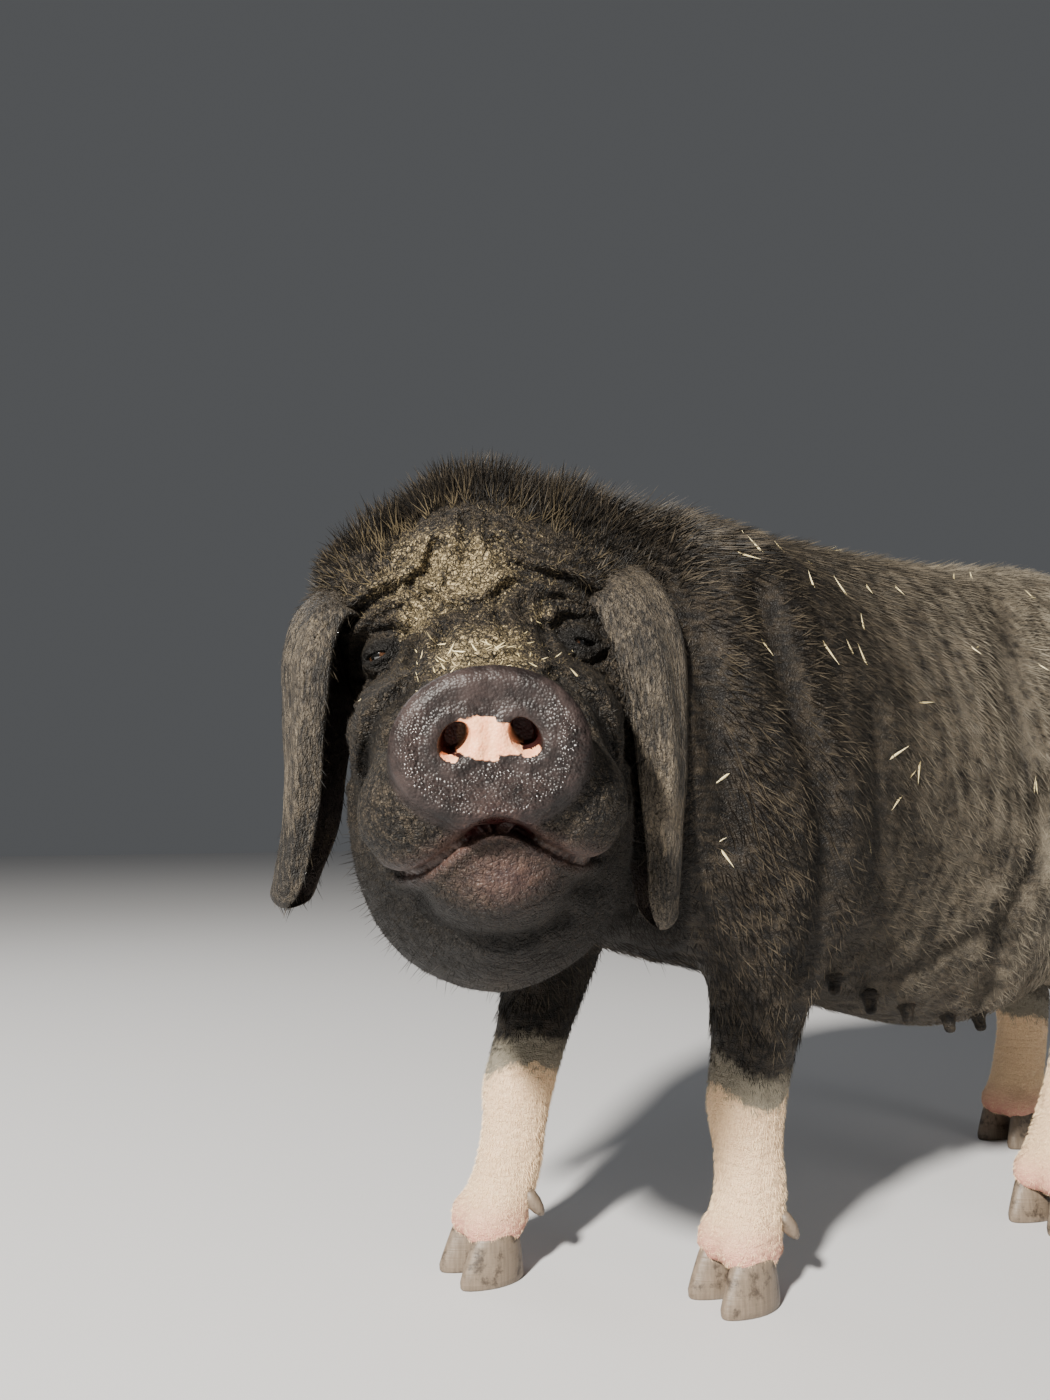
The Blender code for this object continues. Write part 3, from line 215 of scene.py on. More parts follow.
@dataclass
class SowForm:
    """The sow's blended form, in the solids' own working coordinates.

    The body faces -Y, its left side is +X and the floor is z = 0. The head has a frame of its own,
    with its origin midway between the eyes.
    """

    head_origin: Triple = (0.097, -0.469, 0.516)
    head_turn: float = 63.5
    head_pitch: float = 2.0
    head_roll: float = -4.1
    eye_centre: Triple = (0.070, -0.006, 0.0)
    eye_radius: float = 0.0125
    eye_outward: float = 30.0
    slit_slant: float = 16.0
    lid_thickness: float = 0.004
    snout_y: float = -0.222
    snout_z: float = -0.078
    snout_half_width: float = 0.056
    snout_half_height: float = 0.045
    snout_rounding: float = 0.012
    snout_depth: float = 0.036
    nostril_place: Pair = (0.0190, 0.004)
    nostril_slant: float = 30.0
    nostril_half: Pair = (0.0074, 0.0105)
    limb_root_height: float = 0.50
    foot_top: float = 0.05
    feet: Dict[Limb, Pair] = field(
        default_factory=lambda: {
            Limb.FORE_LEFT: (0.075, -0.207),
            Limb.FORE_RIGHT: (-0.072, -0.365),
            Limb.HIND_LEFT: (0.095, 0.172),
            Limb.HIND_RIGHT: (-0.098, 0.375),
        }
    )
    roots: Dict[Limb, Pair] = field(
        default_factory=lambda: {
            Limb.FORE_LEFT: (0.102, -0.236),
            Limb.FORE_RIGHT: (-0.080, -0.235),
            Limb.HIND_LEFT: (0.095, 0.270),
            Limb.HIND_RIGHT: (-0.095, 0.302),
        }
    )
    trunk: Tuple = (
        (-0.410, 0.500, 0.420, 0.050),
        (-0.370, 0.590, 0.345, 0.105),
        (-0.310, 0.633, 0.290, 0.138),
        (-0.230, 0.655, 0.262, 0.154),
        (-0.120, 0.664, 0.236, 0.168),
        (-0.010, 0.664, 0.198, 0.184),
        (0.090, 0.664, 0.182, 0.190),
        (0.180, 0.672, 0.205, 0.182),
        (0.260, 0.677, 0.262, 0.166),
        (0.340, 0.663, 0.335, 0.142),
        (0.400, 0.625, 0.400, 0.105),
        (0.440, 0.560, 0.470, 0.040),
    )
    skull: Tuple = (
        (-0.212, -0.038, -0.112, 0.050),
        (-0.190, -0.034, -0.136, 0.056),
        (-0.150, -0.024, -0.168, 0.062),
        (-0.100, -0.004, -0.198, 0.072),
        (-0.050, 0.028, -0.222, 0.084),
        (0.000, 0.072, -0.234, 0.092),
        (0.050, 0.124, -0.234, 0.095),
        (0.090, 0.149, -0.220, 0.093),
        (0.130, 0.130, -0.180, 0.082),
    )
    fore: Tuple = (
        (0.560, 0.000, 0.015, 0.020, 0.040),
        (0.480, 0.024, 0.014, 0.048, 0.080),
        (0.400, 0.036, 0.010, 0.056, 0.086),
        (0.330, 0.032, 0.010, 0.051, 0.067),
        (0.250, 0.017, 0.008, 0.040, 0.045),
        (0.195, 0.008, 0.004, 0.034, 0.036),
        (0.155, 0.003, 0.000, 0.032, 0.034),
        (0.120, 0.000, 0.003, 0.028, 0.030),
        (0.085, 0.000, 0.004, 0.029, 0.031),
        (0.058, 0.000, -0.002, 0.031, 0.032),
        (0.032, 0.000, -0.006, 0.029, 0.027),
    )
    hind: Tuple = (
        (0.600, -0.010, 0.010, 0.020, 0.040),
        (0.520, 0.018, 0.002, 0.060, 0.098),
        (0.440, 0.030, -0.004, 0.072, 0.116),
        (0.360, 0.030, -0.006, 0.066, 0.100),
        (0.290, 0.020, 0.004, 0.050, 0.068),
        (0.230, 0.008, 0.024, 0.037, 0.046),
        (0.185, 0.002, 0.036, 0.031, 0.041),
        (0.140, 0.000, 0.029, 0.028, 0.033),
        (0.095, 0.000, 0.013, 0.029, 0.032),
        (0.058, 0.000, -0.001, 0.031, 0.032),
        (0.032, 0.000, -0.006, 0.029, 0.027),
    )
    toe_masses: Tuple[Mass, ...] = (
        Mass("toe", (0.0165, -0.014, 0.046), (0.0168, 0.025, 0.020), 0.008),
        Mass("heel", (0.0130, 0.014, 0.028), (0.0155, 0.017, 0.019), 0.010),
    )
    paired_head: Tuple[Mass, ...] = (
        Mass("lip_lobe", (0.044, -0.154, -0.110), (0.037, 0.052, 0.037), 0.014),
        Mass("jowl", (0.043, -0.020, -0.128), (0.052, 0.095, 0.084), 0.040),
        Mass("brow", (0.052, 0.012, 0.042), (0.044, 0.032, 0.034), 0.030),
        Mass("cheek", (0.056, -0.066, -0.058), (0.034, 0.070, 0.034), 0.035),
        Mass("temple", (0.066, 0.056, 0.034), (0.038, 0.050, 0.046), 0.036),
        Mass("ear_base", (0.088, 0.055, 0.066), (0.038, 0.036, 0.035), 0.034),
    )
    middle_head: Tuple[Mass, ...] = (
        Mass("chin", (0.0, -0.150, -0.150), (0.046, 0.046, 0.034), 0.020),
        Mass("dewlap", (0.0, -0.040, -0.186), (0.052, 0.100, 0.050), 0.040),
        Mass("forehead", (0.0, 0.025, 0.066), (0.060, 0.044, 0.052), 0.040),
    )
    paired_body: Tuple[Mass, ...] = (
        Mass("shoulder", (0.106, -0.215, 0.455), (0.052, 0.095, 0.150), 0.060),
        Mass("ham", (0.086, 0.285, 0.440), (0.070, 0.110, 0.150), 0.060),
    )
    socket_radii: Triple = (0.026, 0.014, 0.015)
    neck: Tuple = (
        (0.0, 0.125, 0.164),
        (0.25, 0.122, 0.168),
        (0.5, 0.118, 0.170),
        (0.75, 0.110, 0.170),
        (1.0, 0.100, 0.166),
    )
    neck_root: Triple = (0.012, -0.230, 0.480)
    neck_half_length: float = 0.085
    neck_blend: float = 0.060
    folds: Tuple[Fold, ...] = (
        Fold(
            "brow_right",
            ((-0.094, 0.030), (-0.072, 0.043), (-0.049, 0.050), (-0.033, 0.058), (-0.027, 0.078)),
            -0.005, 0.0046, 0.0085, False, 0.6,
        ),
        Fold(
            "brow_left",
            ((0.016, 0.078), (0.021, 0.061), (0.040, 0.052), (0.066, 0.047), (0.092, 0.032)),
            -0.005, 0.0046, 0.0085, False, 0.6,
        ),
        Fold(
            "bulge_right",
            ((-0.042, 0.043), (-0.028, 0.030), (-0.023, 0.012), (-0.028, -0.010)),
            -0.040, 0.0042, 0.0052, False, 0.5,
        ),
        Fold(
            "bulge_left",
            ((0.036, 0.045), (0.022, 0.039), (0.013, 0.025), (0.018, 0.002)),
            -0.040, 0.0042, 0.0048, False, 0.5,
        ),
        Fold(
            "vee",
            ((-0.045, 0.047), (-0.024, 0.027), (0.002, 0.025), (0.024, 0.043)),
            -0.020, 0.0042, 0.0062, False, 0.5,
        ),
        Fold("crease", ((-0.004, 0.102), (-0.006, 0.062)), 0.010, 0.0042, 0.0055, False, 0.5),
        Fold("crease_left", ((0.015, 0.100), (0.009, 0.080)), 0.020, 0.0034, 0.0026, False),
        Fold(
            "upper_right", ((-0.072, 0.060), (-0.052, 0.068), (-0.038, 0.082)), 0.010, 0.0036, 0.0030, False
        ),
        Fold("upper_left", ((0.030, 0.080), (0.052, 0.068), (0.078, 0.058)), 0.010, 0.0036, 0.0030, False),
        Fold(
            "brow_low",
            ((0.046, 0.030), (0.062, 0.033), (0.080, 0.026), (0.094, 0.010)),
            -0.010, 0.0036, 0.0034, True, 0.15,
        ),
        Fold(
            "lid_top",
            ((0.048, 0.010), (0.062, 0.019), (0.078, 0.018), (0.094, 0.006)),
            -0.010, 0.0032, 0.0034, True, 0.15,
        ),
        Fold(
            "under_eye",
            ((0.048, -0.008), (0.062, -0.017), (0.080, -0.018), (0.096, -0.010)),
            -0.010, 0.0034, 0.0044,
        ),
        Fold("under_eye_low", ((0.050, -0.024), (0.070, -0.030), (0.092, -0.026)), -0.015, 0.0036, 0.0030),
        Fold(
            "nose_side",
            ((0.047, 0.024), (0.044, 0.004), (0.047, -0.014), (0.042, -0.030)),
            -0.060, 0.0040, 0.0036, True, 0.5,
        ),
        Fold("bridge", ((-0.016, -0.004), (0.002, -0.009), (0.018, -0.004)), -0.090, 0.0036, 0.0020, False),
        Fold(
            "bridge_low",
            ((-0.022, -0.018), (0.002, -0.023), (0.024, -0.018)),
            -0.120, 0.0036, 0.0020, False,
        ),
        Fold(
            "snout_back",
            ((-0.060, -0.070), (-0.044, -0.036), (0.000, -0.020), (0.044, -0.036), (0.060, -0.070)),
            -0.170, 0.0050, 0.0030, False,
        ),
        Fold(
            "muzzle",
            ((0.046, -0.034), (0.068, -0.054), (0.079, -0.084), (0.083, -0.112)),
            -0.115, 0.0055, 0.0060,
        ),
        Fold("cheek", ((0.084, -0.040), (0.092, -0.075), (0.090, -0.110)), -0.050, 0.0046, 0.0034),
        Fold("cheek_back", ((0.078, -0.030), (0.094, -0.050), (0.100, -0.085)), -0.010, 0.0046, 0.0030),
        Fold("chin_side", ((0.024, -0.170), (0.046, -0.163), (0.066, -0.166)), -0.120, 0.0060, 0.0016),
        Fold(
            "chin_low",
            ((-0.048, -0.176), (-0.020, -0.185), (0.010, -0.188), (0.040, -0.180)),
            -0.120, 0.0062, 0.0024, False,
        ),
    )
    creases: Tuple[BodyCrease, ...] = (
        BodyCrease(
            "shoulder_left",
            (
                (0.168, -0.254, 0.570),
                (0.186, -0.249, 0.501),
                (0.196, -0.226, 0.420),
                (0.179, -0.208, 0.329),
                (0.150, -0.205, 0.270),
            ),
            0.0125,
            0.0135,
        ),
        BodyCrease(
            "elbow_left",
            ((0.178, -0.148, 0.480), (0.188, -0.152, 0.416), (0.165, -0.140, 0.340)),
            0.014, 0.0070,
        ),
        BodyCrease(
            "flank_left",
            ((0.192, 0.062, 0.420), (0.187, 0.049, 0.374), (0.165, 0.020, 0.308), (0.119, 0.047, 0.234)),
            0.0120, 0.0140,
        ),
        BodyCrease(
            "belly_left",
            ((0.165, 0.016, 0.308), (0.135, -0.029, 0.269), (0.092, -0.070, 0.240)),
            0.0110, 0.0110,
        ),
        BodyCrease(
            "hip_left", ((0.125, 0.090, 0.600), (0.173, 0.030, 0.499), (0.186, 0.040, 0.400)), 0.020, 0.0080
        ),
        BodyCrease(
            "throat_left",
            ((0.168, -0.319, 0.527), (0.180, -0.312, 0.451), (0.170, -0.294, 0.377)),
            0.0140, 0.0090,
        ),
        BodyCrease(
            "shoulder_right",
            (
                (-0.115, -0.215, 0.540),
                (-0.146, -0.185, 0.440),
                (-0.140, -0.170, 0.340),
                (-0.115, -0.160, 0.270),
            ),
            0.0125, 0.0120,
        ),
        BodyCrease(
            "flank_right",
            (
                (-0.185, 0.130, 0.430),
                (-0.180, 0.110, 0.350),
                (-0.150, 0.100, 0.280),
                (-0.110, 0.120, 0.230),
            ),
            0.0120, 0.0130,
        ),
        BodyCrease(
            "hip_right",
            ((-0.130, 0.150, 0.590), (-0.176, 0.110, 0.500), (-0.186, 0.110, 0.420)),
            0.020, 0.0080,
        ),
    )
    mouth_middle: float = -0.120
    mouth_corner: float = -0.149
    mouth_arch: float = 0.034
    mouth_back: float = -0.105
    parting: Pair = (0.002, 0.0165)
    skull_low: float = 0.45
    trunk_low: float = 0.46
    fold_reach: float = 0.035
    eye_sink: float = 0.0022
    nostril_sink: Pair = (0.0200, 0.0060)
    mouth_sink: float = 0.016

    def __post_init__(self) -> None:
        """Works out the frames that the other sizes give."""
        self.head = (
            Matrix.Translation(Vector(self.head_origin))
            @ Matrix.Rotation(math.radians(self.head_turn), 4, "Z")
            @ Matrix.Rotation(math.radians(self.head_pitch), 4, "X")
            @ Matrix.Rotation(math.radians(self.head_roll), 4, "Y")
        )
        self.neck_frames = self._neck_frames()

    @staticmethod
    def spine_x(y: Array) -> Array:
        """How far the spine has bent to the sow's left at a given y."""
        bend = np.maximum(0.0, -0.02 - y)
        return 0.45 * bend * bend

    def _neck_frames(self) -> List[Tuple[Matrix, Triple]]:
        """A frame and radii for each mass of the neck, along its bend from the trunk to the head."""
        root = Vector(self.neck_root)
        end = self.head @ Vector((0.0, 0.070, -0.040))
        body_heading = Vector((0.10, -1.0, 0.0)).normalized()
        head_heading = (self.head.to_3x3() @ Vector((0, -1, 0))).normalized()
        handle = (end - root).length * 0.33
        first, second = root + body_heading * handle, end - head_heading * handle
        made = []
        for share, half_width, half_height in self.neck:
            a, b = 1.0 - share, share
            centre = root * a**3 + first * 3 * a * a * b + second * 3 * a * b * b + end * b**3
            heading = (body_heading * a + head_heading * b).normalized()
            turn = math.atan2(heading.x, -heading.y)
            place = Matrix.Translation(centre) @ Matrix.Rotation(turn, 4, "Z")
            made.append((place, (half_width, self.neck_half_length, half_height)))
        return made

    def eye_frame(self, side: Side) -> Matrix:
        """The frame of one eye, looking out along its own -Y."""
        x, y, z = self.eye_centre
        return (
            self.head
            @ Matrix.Translation(Vector((x * side.value, y, z)))
            @ Matrix.Rotation(math.radians(self.eye_outward) * side.value, 4, "Z")
        )

    def mouth_height(self, x: Array) -> Array:
        """Height of the line between the lips across the face."""
        rise = self.mouth_middle - self.mouth_corner
        return self.mouth_corner + rise * hill(x / self.mouth_arch)

    def section(self, stations: Tuple, x: Array, y: Array, z: Array, low: float) -> Array:
        """Distance to a body of oval sections along y."""
        top, bottom, half_width = along_stations(stations, y).T
        middle = low * top + (1.0 - low) * bottom
        reach = np.where(z > middle, top - middle, middle - bottom)
        section = oval_distance(x, z - middle, half_width, reach)
        return np.maximum(section, np.maximum(stations[0][0] - y, y - stations[-1][0]))

    def _limb(self, points: Array, limb: Limb) -> Array:
        """Distance to one leg with its toes."""
        x, y, z = points.T
        foot, root = self.feet[limb], self.roots[limb]
        outwards = 1.0 if limb.value.endswith("left") else -1.0
        stations = self.fore if limb.value.startswith("fore") else self.hind
        share = np.clip((z - self.foot_top) / (self.limb_root_height - self.foot_top), 0.0, 1.0)
        share = 0.5 * share + 0.5 * smooth_step(share)
        line_x, line_y = [foot[k] + (root[k] - foot[k]) * share for k in range(2)]
        x_off, y_off, half_width, half_length = along_stations(stations, z).T
        section = oval_distance(
            x - line_x - outwards * x_off, y - line_y - y_off, half_width, half_length
        )
        leg = np.maximum(section, np.maximum(stations[-1][0] - z, z - stations[0][0]))
        for mass in self.toe_masses:
            for sign in (1.0, -1.0):
                cx, cy, cz = mass.centre
                place = np.array((foot[0] + cx * sign, foot[1] + cy, cz))
                leg = blend(leg, ellipsoid_distance(points - place, mass.radii), mass.softness)
        return leg

    def snout_oval(self, x: Array, z: Array) -> Array:
        """Distance to the snout disc's outline, seen from the front."""
        return oval_distance(x, z - self.snout_z, self.snout_half_width, self.snout_half_height)

    def lip_front(self, y: Array) -> Array:
        """How far forward on the lips a place lies: one in front, zero where the mouth ends."""
        return smooth_step((self.mouth_back - y) / 0.03) * (y > -0.215)

    def disc(self, local: Array) -> Array:
        """Distance to the snout disc's drum, with a soft rim and a dished face."""
        x, y, z = local.T
        dish = 0.0038 * np.exp(-((x / 0.041) ** 4 + ((z - self.snout_z) / 0.032) ** 4))
        side = self.snout_oval(x, z)
        ends = np.maximum(self.snout_y + dish - y, y - self.snout_y - self.snout_depth)
        rounding = self.snout_rounding
        corner = np.hypot(np.maximum(side + rounding, 0), np.maximum(ends + rounding, 0)) - rounding
        return np.where((side < -rounding) & (ends < -rounding), np.maximum(side, ends), corner)

    def fold_depth(self, local: Array) -> Array:
        """How deep the folds of the face are at points in the head's frame."""
        x, y, z = local.T
        depth = np.zeros(len(x))
        for fold in self.folds:
            across = np.abs(x) if fold.paired else x
            away = path_distance(across, z, fold.points) / fold.half_width
            window = 1.0 - smooth_step((np.abs(y - fold.place) - self.fold_reach) / 0.02)
            depth += window * fold.depth * (hill(away) - fold.ridge * hill(away - 2.0))
        return depth

    def openings_depth(self, local: Array) -> Array:
        """How deep the line of the mouth sinks at points in the head's frame."""
        x, y, z = local.T
        off = z - self.mouth_height(x)
        middle = hill(x / 0.020) * smooth_step((-0.150 - y) / 0.02)
        groove = 0.0056 * hill(off / (0.0020 + 0.0012 * middle))
        return self.lip_front(y) * (groove - 0.0018 * hill((np.abs(off) - 0.008) / 0.005))

    def head_distance(self, local: Array) -> Array:
        """Distance to the head with masses, sockets, lids, folds, lips and nostrils."""
        x, y, z = local.T
        head = self.section(self.skull, x, y, z, self.skull_low)
        for mass in self.middle_head:
            offset = local - np.array(mass.centre)
            head = blend(head, ellipsoid_distance(offset, mass.radii), mass.softness)
        for mass in self.paired_head:
            for side in Side:
                offset = local - mirrored(mass.centre, side)
                head = blend(head, ellipsoid_distance(offset, mass.radii), mass.softness)
        for side in Side:
            eye = mirrored(self.eye_centre, side)
            hollow = ellipsoid_distance(local - eye + (0, 0.016, 0), self.socket_radii)
            head = -blend(-head, hollow, 0.012)
            lid = np.linalg.norm(local - eye, axis=1) - self.eye_radius - self.lid_thickness
            head = blend(head, lid, 0.008)
            turned = self.eye_local(local, side)
            rim = np.hypot(turned[:, 0] / 0.0150, turned[:, 2] / 0.0056)
            front = (turned[:, 1] < 0) * (np.abs(turned[:, 1]) < 0.03)
            head = head - 0.0011 * front * hill((rim - 1.0) / 0.28)
        head = head + self.fold_depth(local)
        head = blend(head, self.disc(local), 0.010)
        head = head + self.openings_depth(local)
        for side in Side:
            nx, nz = self.nostril_plane(local, side)
            front = y < self.snout_y + 0.03
            lip = np.hypot(nx / 0.0125, nz / 0.0150)
            head = head - 0.0016 * front * hill((lip - 1.0) / 0.30)
        return head

    def _eye_place(self, side: Side) -> Matrix:
        """The frame of an eye's slit within the head's frame."""
        x, y, z = self.eye_centre
        return (
            Matrix.Translation(Vector((x * side.value, y, z)))
            @ Matrix.Rotation(math.radians(self.eye_outward) * side.value, 4, "Z")
            @ Matrix.Rotation(math.radians(self.slit_slant) * side.value, 4, "Y")
        )

    def eye_local(self, local: Array, side: Side) -> Array:
        """Head points read in the frame of an eye's slit."""
        return into_frame(local, self._eye_place(side))

    def nostril_plane(self, local: Array, side: Side) -> Tuple[Array, Array]:
        """Where head points lie across and along a nostril's slanted oval."""
        across, up = self.nostril_place
        place = Matrix.Translation(Vector((across * side.value, self.snout_y, self.snout_z + up)))
        place = place @ Matrix.Rotation(-math.radians(self.nostril_slant) * side.value, 4, "Y")
        turned = into_frame(local, place)
        return turned[:, 0], turned[:, 2]

    def nostril_share(self, local: Array) -> Array:
        """One inside the nostrils' ovals, falling to zero at their rims."""
        share = np.zeros(len(local))
        for side in Side:
            nx, nz = self.nostril_plane(local, side)
            size = np.hypot(nx / self.nostril_half[0], nz / self.nostril_half[1])
            share = np.maximum(share, smooth_step((1.12 - size) / 0.42))
        return share * (local[:, 1] < self.snout_y + 0.02)

    def carve(self, local: Array) -> Array:
        """Sinks the nostrils, the parted lips and the slits between the lids into the face.

        Args:
            local: Points on the face, in the head's frame.

        Returns:
            The same points, moved inwards where an opening lies.
        """
        made = local.copy()
        made[:, 1:] += self.nostril_share(local)[:, None] * np.array(self.nostril_sink)
        x, y, z = local.T
        off = (z - self.mouth_height(x)) / 0.0042
        across = np.exp(-(((x - self.parting[0]) / self.parting[1]) ** 4))
        parted = across * np.exp(-(off**4)) * (y < -0.145) * (y > self.snout_y - 0.01)
        made[:, 1] += self.mouth_sink * parted
        for side in Side:
            turned = self.eye_local(made, side)
            ball = np.linalg.norm(turned, axis=1)
            tx, tz = turned[:, 0] / 0.0112, (turned[:, 2] + 0.0004) / 0.0024
            lens = np.hypot(tx, tz) + 0.25 * np.abs(tx) ** 3
            share = smooth_step((1.16 - lens) / 0.30) * (turned[:, 1] < 0.0) * (ball < 0.035)
            goal = self.eye_radius - self.eye_sink
            pull = np.where(ball > goal, (ball - goal) / np.maximum(ball, 1e-6), 0.0) * share
            turned = turned * (1.0 - pull[:, None])
            moved = share > 0
            back = np.array(self._eye_place(side))
            made[moved] = (turned @ back[:3, :3].T + back[:3, 3])[moved]
        return made

    def crease_share(self, points: Array) -> Array:
        """One in the bottom of the body's creases, in working coordinates."""
        share = np.zeros(len(points))
        for crease in self.creases:
            away = line_distance(points, crease.points) / crease.half_width
            share = np.maximum(share, hill(away / 0.75) * min(crease.depth / 0.012, 1.0))
        return share

    def distance(self, points: Array) -> Array:
        """Distance to the blended surface of all the flesh, in working coordinates."""
        x, y, z = points.T
        body = self.section(self.trunk, x - self.spine_x(y), y, z, self.trunk_low)
        for mass in self.paired_body:
            for side in Side:
                place = mirrored(mass.centre, side)
                place[0] += float(self.spine_x(place[1]))
                body = blend(body, ellipsoid_distance(points - place, mass.radii), mass.softness)
        for place, radii in self.neck_frames:
            body = blend(body, ellipsoid_distance(into_frame(points, place), radii), self.neck_blend)
        for limb in Limb:
            body = blend(body, self._limb(points, limb), 0.030)
        for crease in self.creases:
            away = line_distance(points, crease.points) / crease.half_width
            body = body + crease.depth * (hill(away) - 0.30 * hill(away - 2.2))
        local = into_frame(points, self.head)
        near = (local[:, 1] < 0.20) & (np.abs(local[:, 0]) < 0.20)
        whole = body.copy()
        if near.any():
            whole[near] = blend(body[near], self.head_distance(local[near]), 0.030)
        return whole


@dataclass
class Placement:
    """Where the working coordinates lie in the frame of the solids."""

    form: SowForm

    def __post_init__(self) -> None:
        """Reads the shift from where the left eye lies."""
        low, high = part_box("eye_left")
        self.shift = (low + high) / 2 - self.form.eye_frame(Side.LEFT).translation
        self.shift.z = 0.0

    @property
    def array(self) -> Array:
        """The shift as an array."""
        return np.array(self.shift)

    def matrix(self) -> Matrix:
        """The shift as a matrix."""
        return Matrix.Translation(self.shift)


def read_points(mesh: Mesh) -> Array:
    """Every vertex of a mesh as rows of x, y and z."""
    points = np.empty(len(mesh.vertices) * 3, np.float32)
    mesh.vertices.foreach_get("co", points)
    return points.reshape(-1, 3).astype(float)


def write_points(mesh: Mesh, points: Array) -> None:
    """Puts every vertex of a mesh at its row."""
    mesh.vertices.foreach_set("co", points.astype(np.float32).ravel())
    mesh.update()


def store(mesh: Mesh, name: str, values: Array) -> None:
    """Stores one number or one vector for each vertex."""
    kind = "FLOAT" if values.ndim == 1 else "FLOAT_VECTOR"
    layer = mesh.attributes.new(name, kind, "POINT")
    layer.data.foreach_set("value" if values.ndim == 1 else "vector", values.astype(np.float32).ravel())


def mesh_numbers(mesh: Mesh, name: str) -> Array:
    """Reads a number stored for each vertex."""
    values = np.empty(len(mesh.vertices), np.float32)
    mesh.attributes[name].data.foreach_get("value", values)
    return values.astype(float)


@contextmanager
def editing(mesh: Mesh) -> Iterator[bmesh.types.BMesh]:
    """Opens a mesh for edits on its faces and writes them back."""
    work = bmesh.new()
    work.from_mesh(mesh)
    yield work
    work.to_mesh(mesh)
    work.free()


def count_triangles(piece: Object) -> int:
    """How many triangles a piece has."""
    piece.data.calc_loop_triangles()
    return len(piece.data.loop_triangles)


def place_object(name: str, mesh: Mesh) -> Object:
    """Puts a mesh into the scene."""
    made = bpy.data.objects.new(name, mesh)
    bpy.context.scene.collection.objects.link(made)
    return made


def bake(thing: Object) -> None:
    """Turns an object's evaluated shape into its plain mesh."""
    graph = bpy.context.evaluated_depsgraph_get()
    baked = bpy.data.meshes.new_from_object(thing.evaluated_get(graph))
    thing.modifiers.clear()
    old, thing.data = thing.data, baked
    bpy.data.meshes.remove(old)


def loft(name: str, rings: Sequence[Sequence[Vector]]) -> Mesh:
    """A closed solid through rings of equal count, capped at both ends."""
    sides = len(rings[0])
    points = [tuple(p) for ring in rings for p in ring]
    faces = []
    for row in range(len(rings) - 1):
        for k in range(sides):
            a, b = row * sides + k, row * sides + (k + 1) % sides
            faces.append((a, b, b + sides, a + sides))
    last = (len(rings) - 1) * sides
    for start, first in ((0, rings[0]), (last, rings[-1])):
        middle = sum(first, Vector()) / sides
        points.append(tuple(middle))
        hub = len(points) - 1
        faces += [(start + k, start + (k + 1) % sides, hub) for k in range(sides)]
    mesh = bpy.data.meshes.new(name)
    mesh.from_pydata(points, [], faces)
    with editing(mesh) as work:
        bmesh.ops.recalc_face_normals(work, faces=work.faces)
    mesh.shade_smooth()
    return mesh


def bristle_faces(start: int) -> List[Tuple[int, ...]]:
    """The faces of one bristle with two rings of three points and a tip, from a first point on."""
    faces: List[Tuple[int, ...]] = []
    for a, b in ((0, 1), (1, 2), (2, 0)):
        faces.append((start + a, start + b, start + 3 + b, start + 3 + a))
        faces.append((start + 3 + a, start + 3 + b, start + 6))
    return [*faces, (start + 2, start + 1, start)]


def feed(tree: bpy.types.NodeTree, socket: Socket, value: object) -> None:
    """Joins a socket to what feeds it, or sets its number, vector or colour."""
    if isinstance(value, Signal):
        value = value.socket
    if isinstance(value, bpy.types.NodeSocket):
        tree.links.new(value, socket)
    elif value is not None:
        socket.default_value = (*value, 1.0) if socket.type == "RGBA" else value


def add_node(tree: bpy.types.NodeTree, kind: str, inputs: Dict, **settings: object) -> bpy.types.Node:
    """Adds a node to a tree.

    Args:
        tree: The tree of a material or of a coat.
        kind: The node's type.
        inputs: What each input is fed with, by the input's name or number.
        **settings: The node's own properties.

    Returns:
        The node.
    """
    node = tree.nodes.new(kind)
    for key, value in settings.items():
        setattr(node, key, value)
    for key, value in inputs.items():
        feed(tree, node.inputs[key], value)
    return node


class Signal:
    """A number, vector or colour on the surface. Sums on it add nodes to its material."""

    def __init__(self, nodes: "Nodes", socket: Socket) -> None:
        """Keeps the material's nodes and the socket that gives the value."""
        self.nodes, self.socket = nodes, socket

    def __add__(self, other: object) -> "Signal":
        """This plus the other."""
        return self.nodes.math("ADD", self, other)

    def __radd__(self, other: float) -> "Signal":
        """A number plus this."""
        return self.nodes.math("ADD", other, self)

    def __sub__(self, other: object) -> "Signal":
        """This less the other."""
        return self.nodes.math("SUBTRACT", self, other)

    def __rsub__(self, other: float) -> "Signal":
        """A number less this."""
        return self.nodes.math("SUBTRACT", other, self)

    def __mul__(self, other: object) -> "Signal":
        """This times the other."""
        return self.nodes.math("MULTIPLY", self, other)

    def clamped(self) -> "Signal":
        """This sum, held between zero and one."""
        self.socket.node.use_clamp = True
        return self


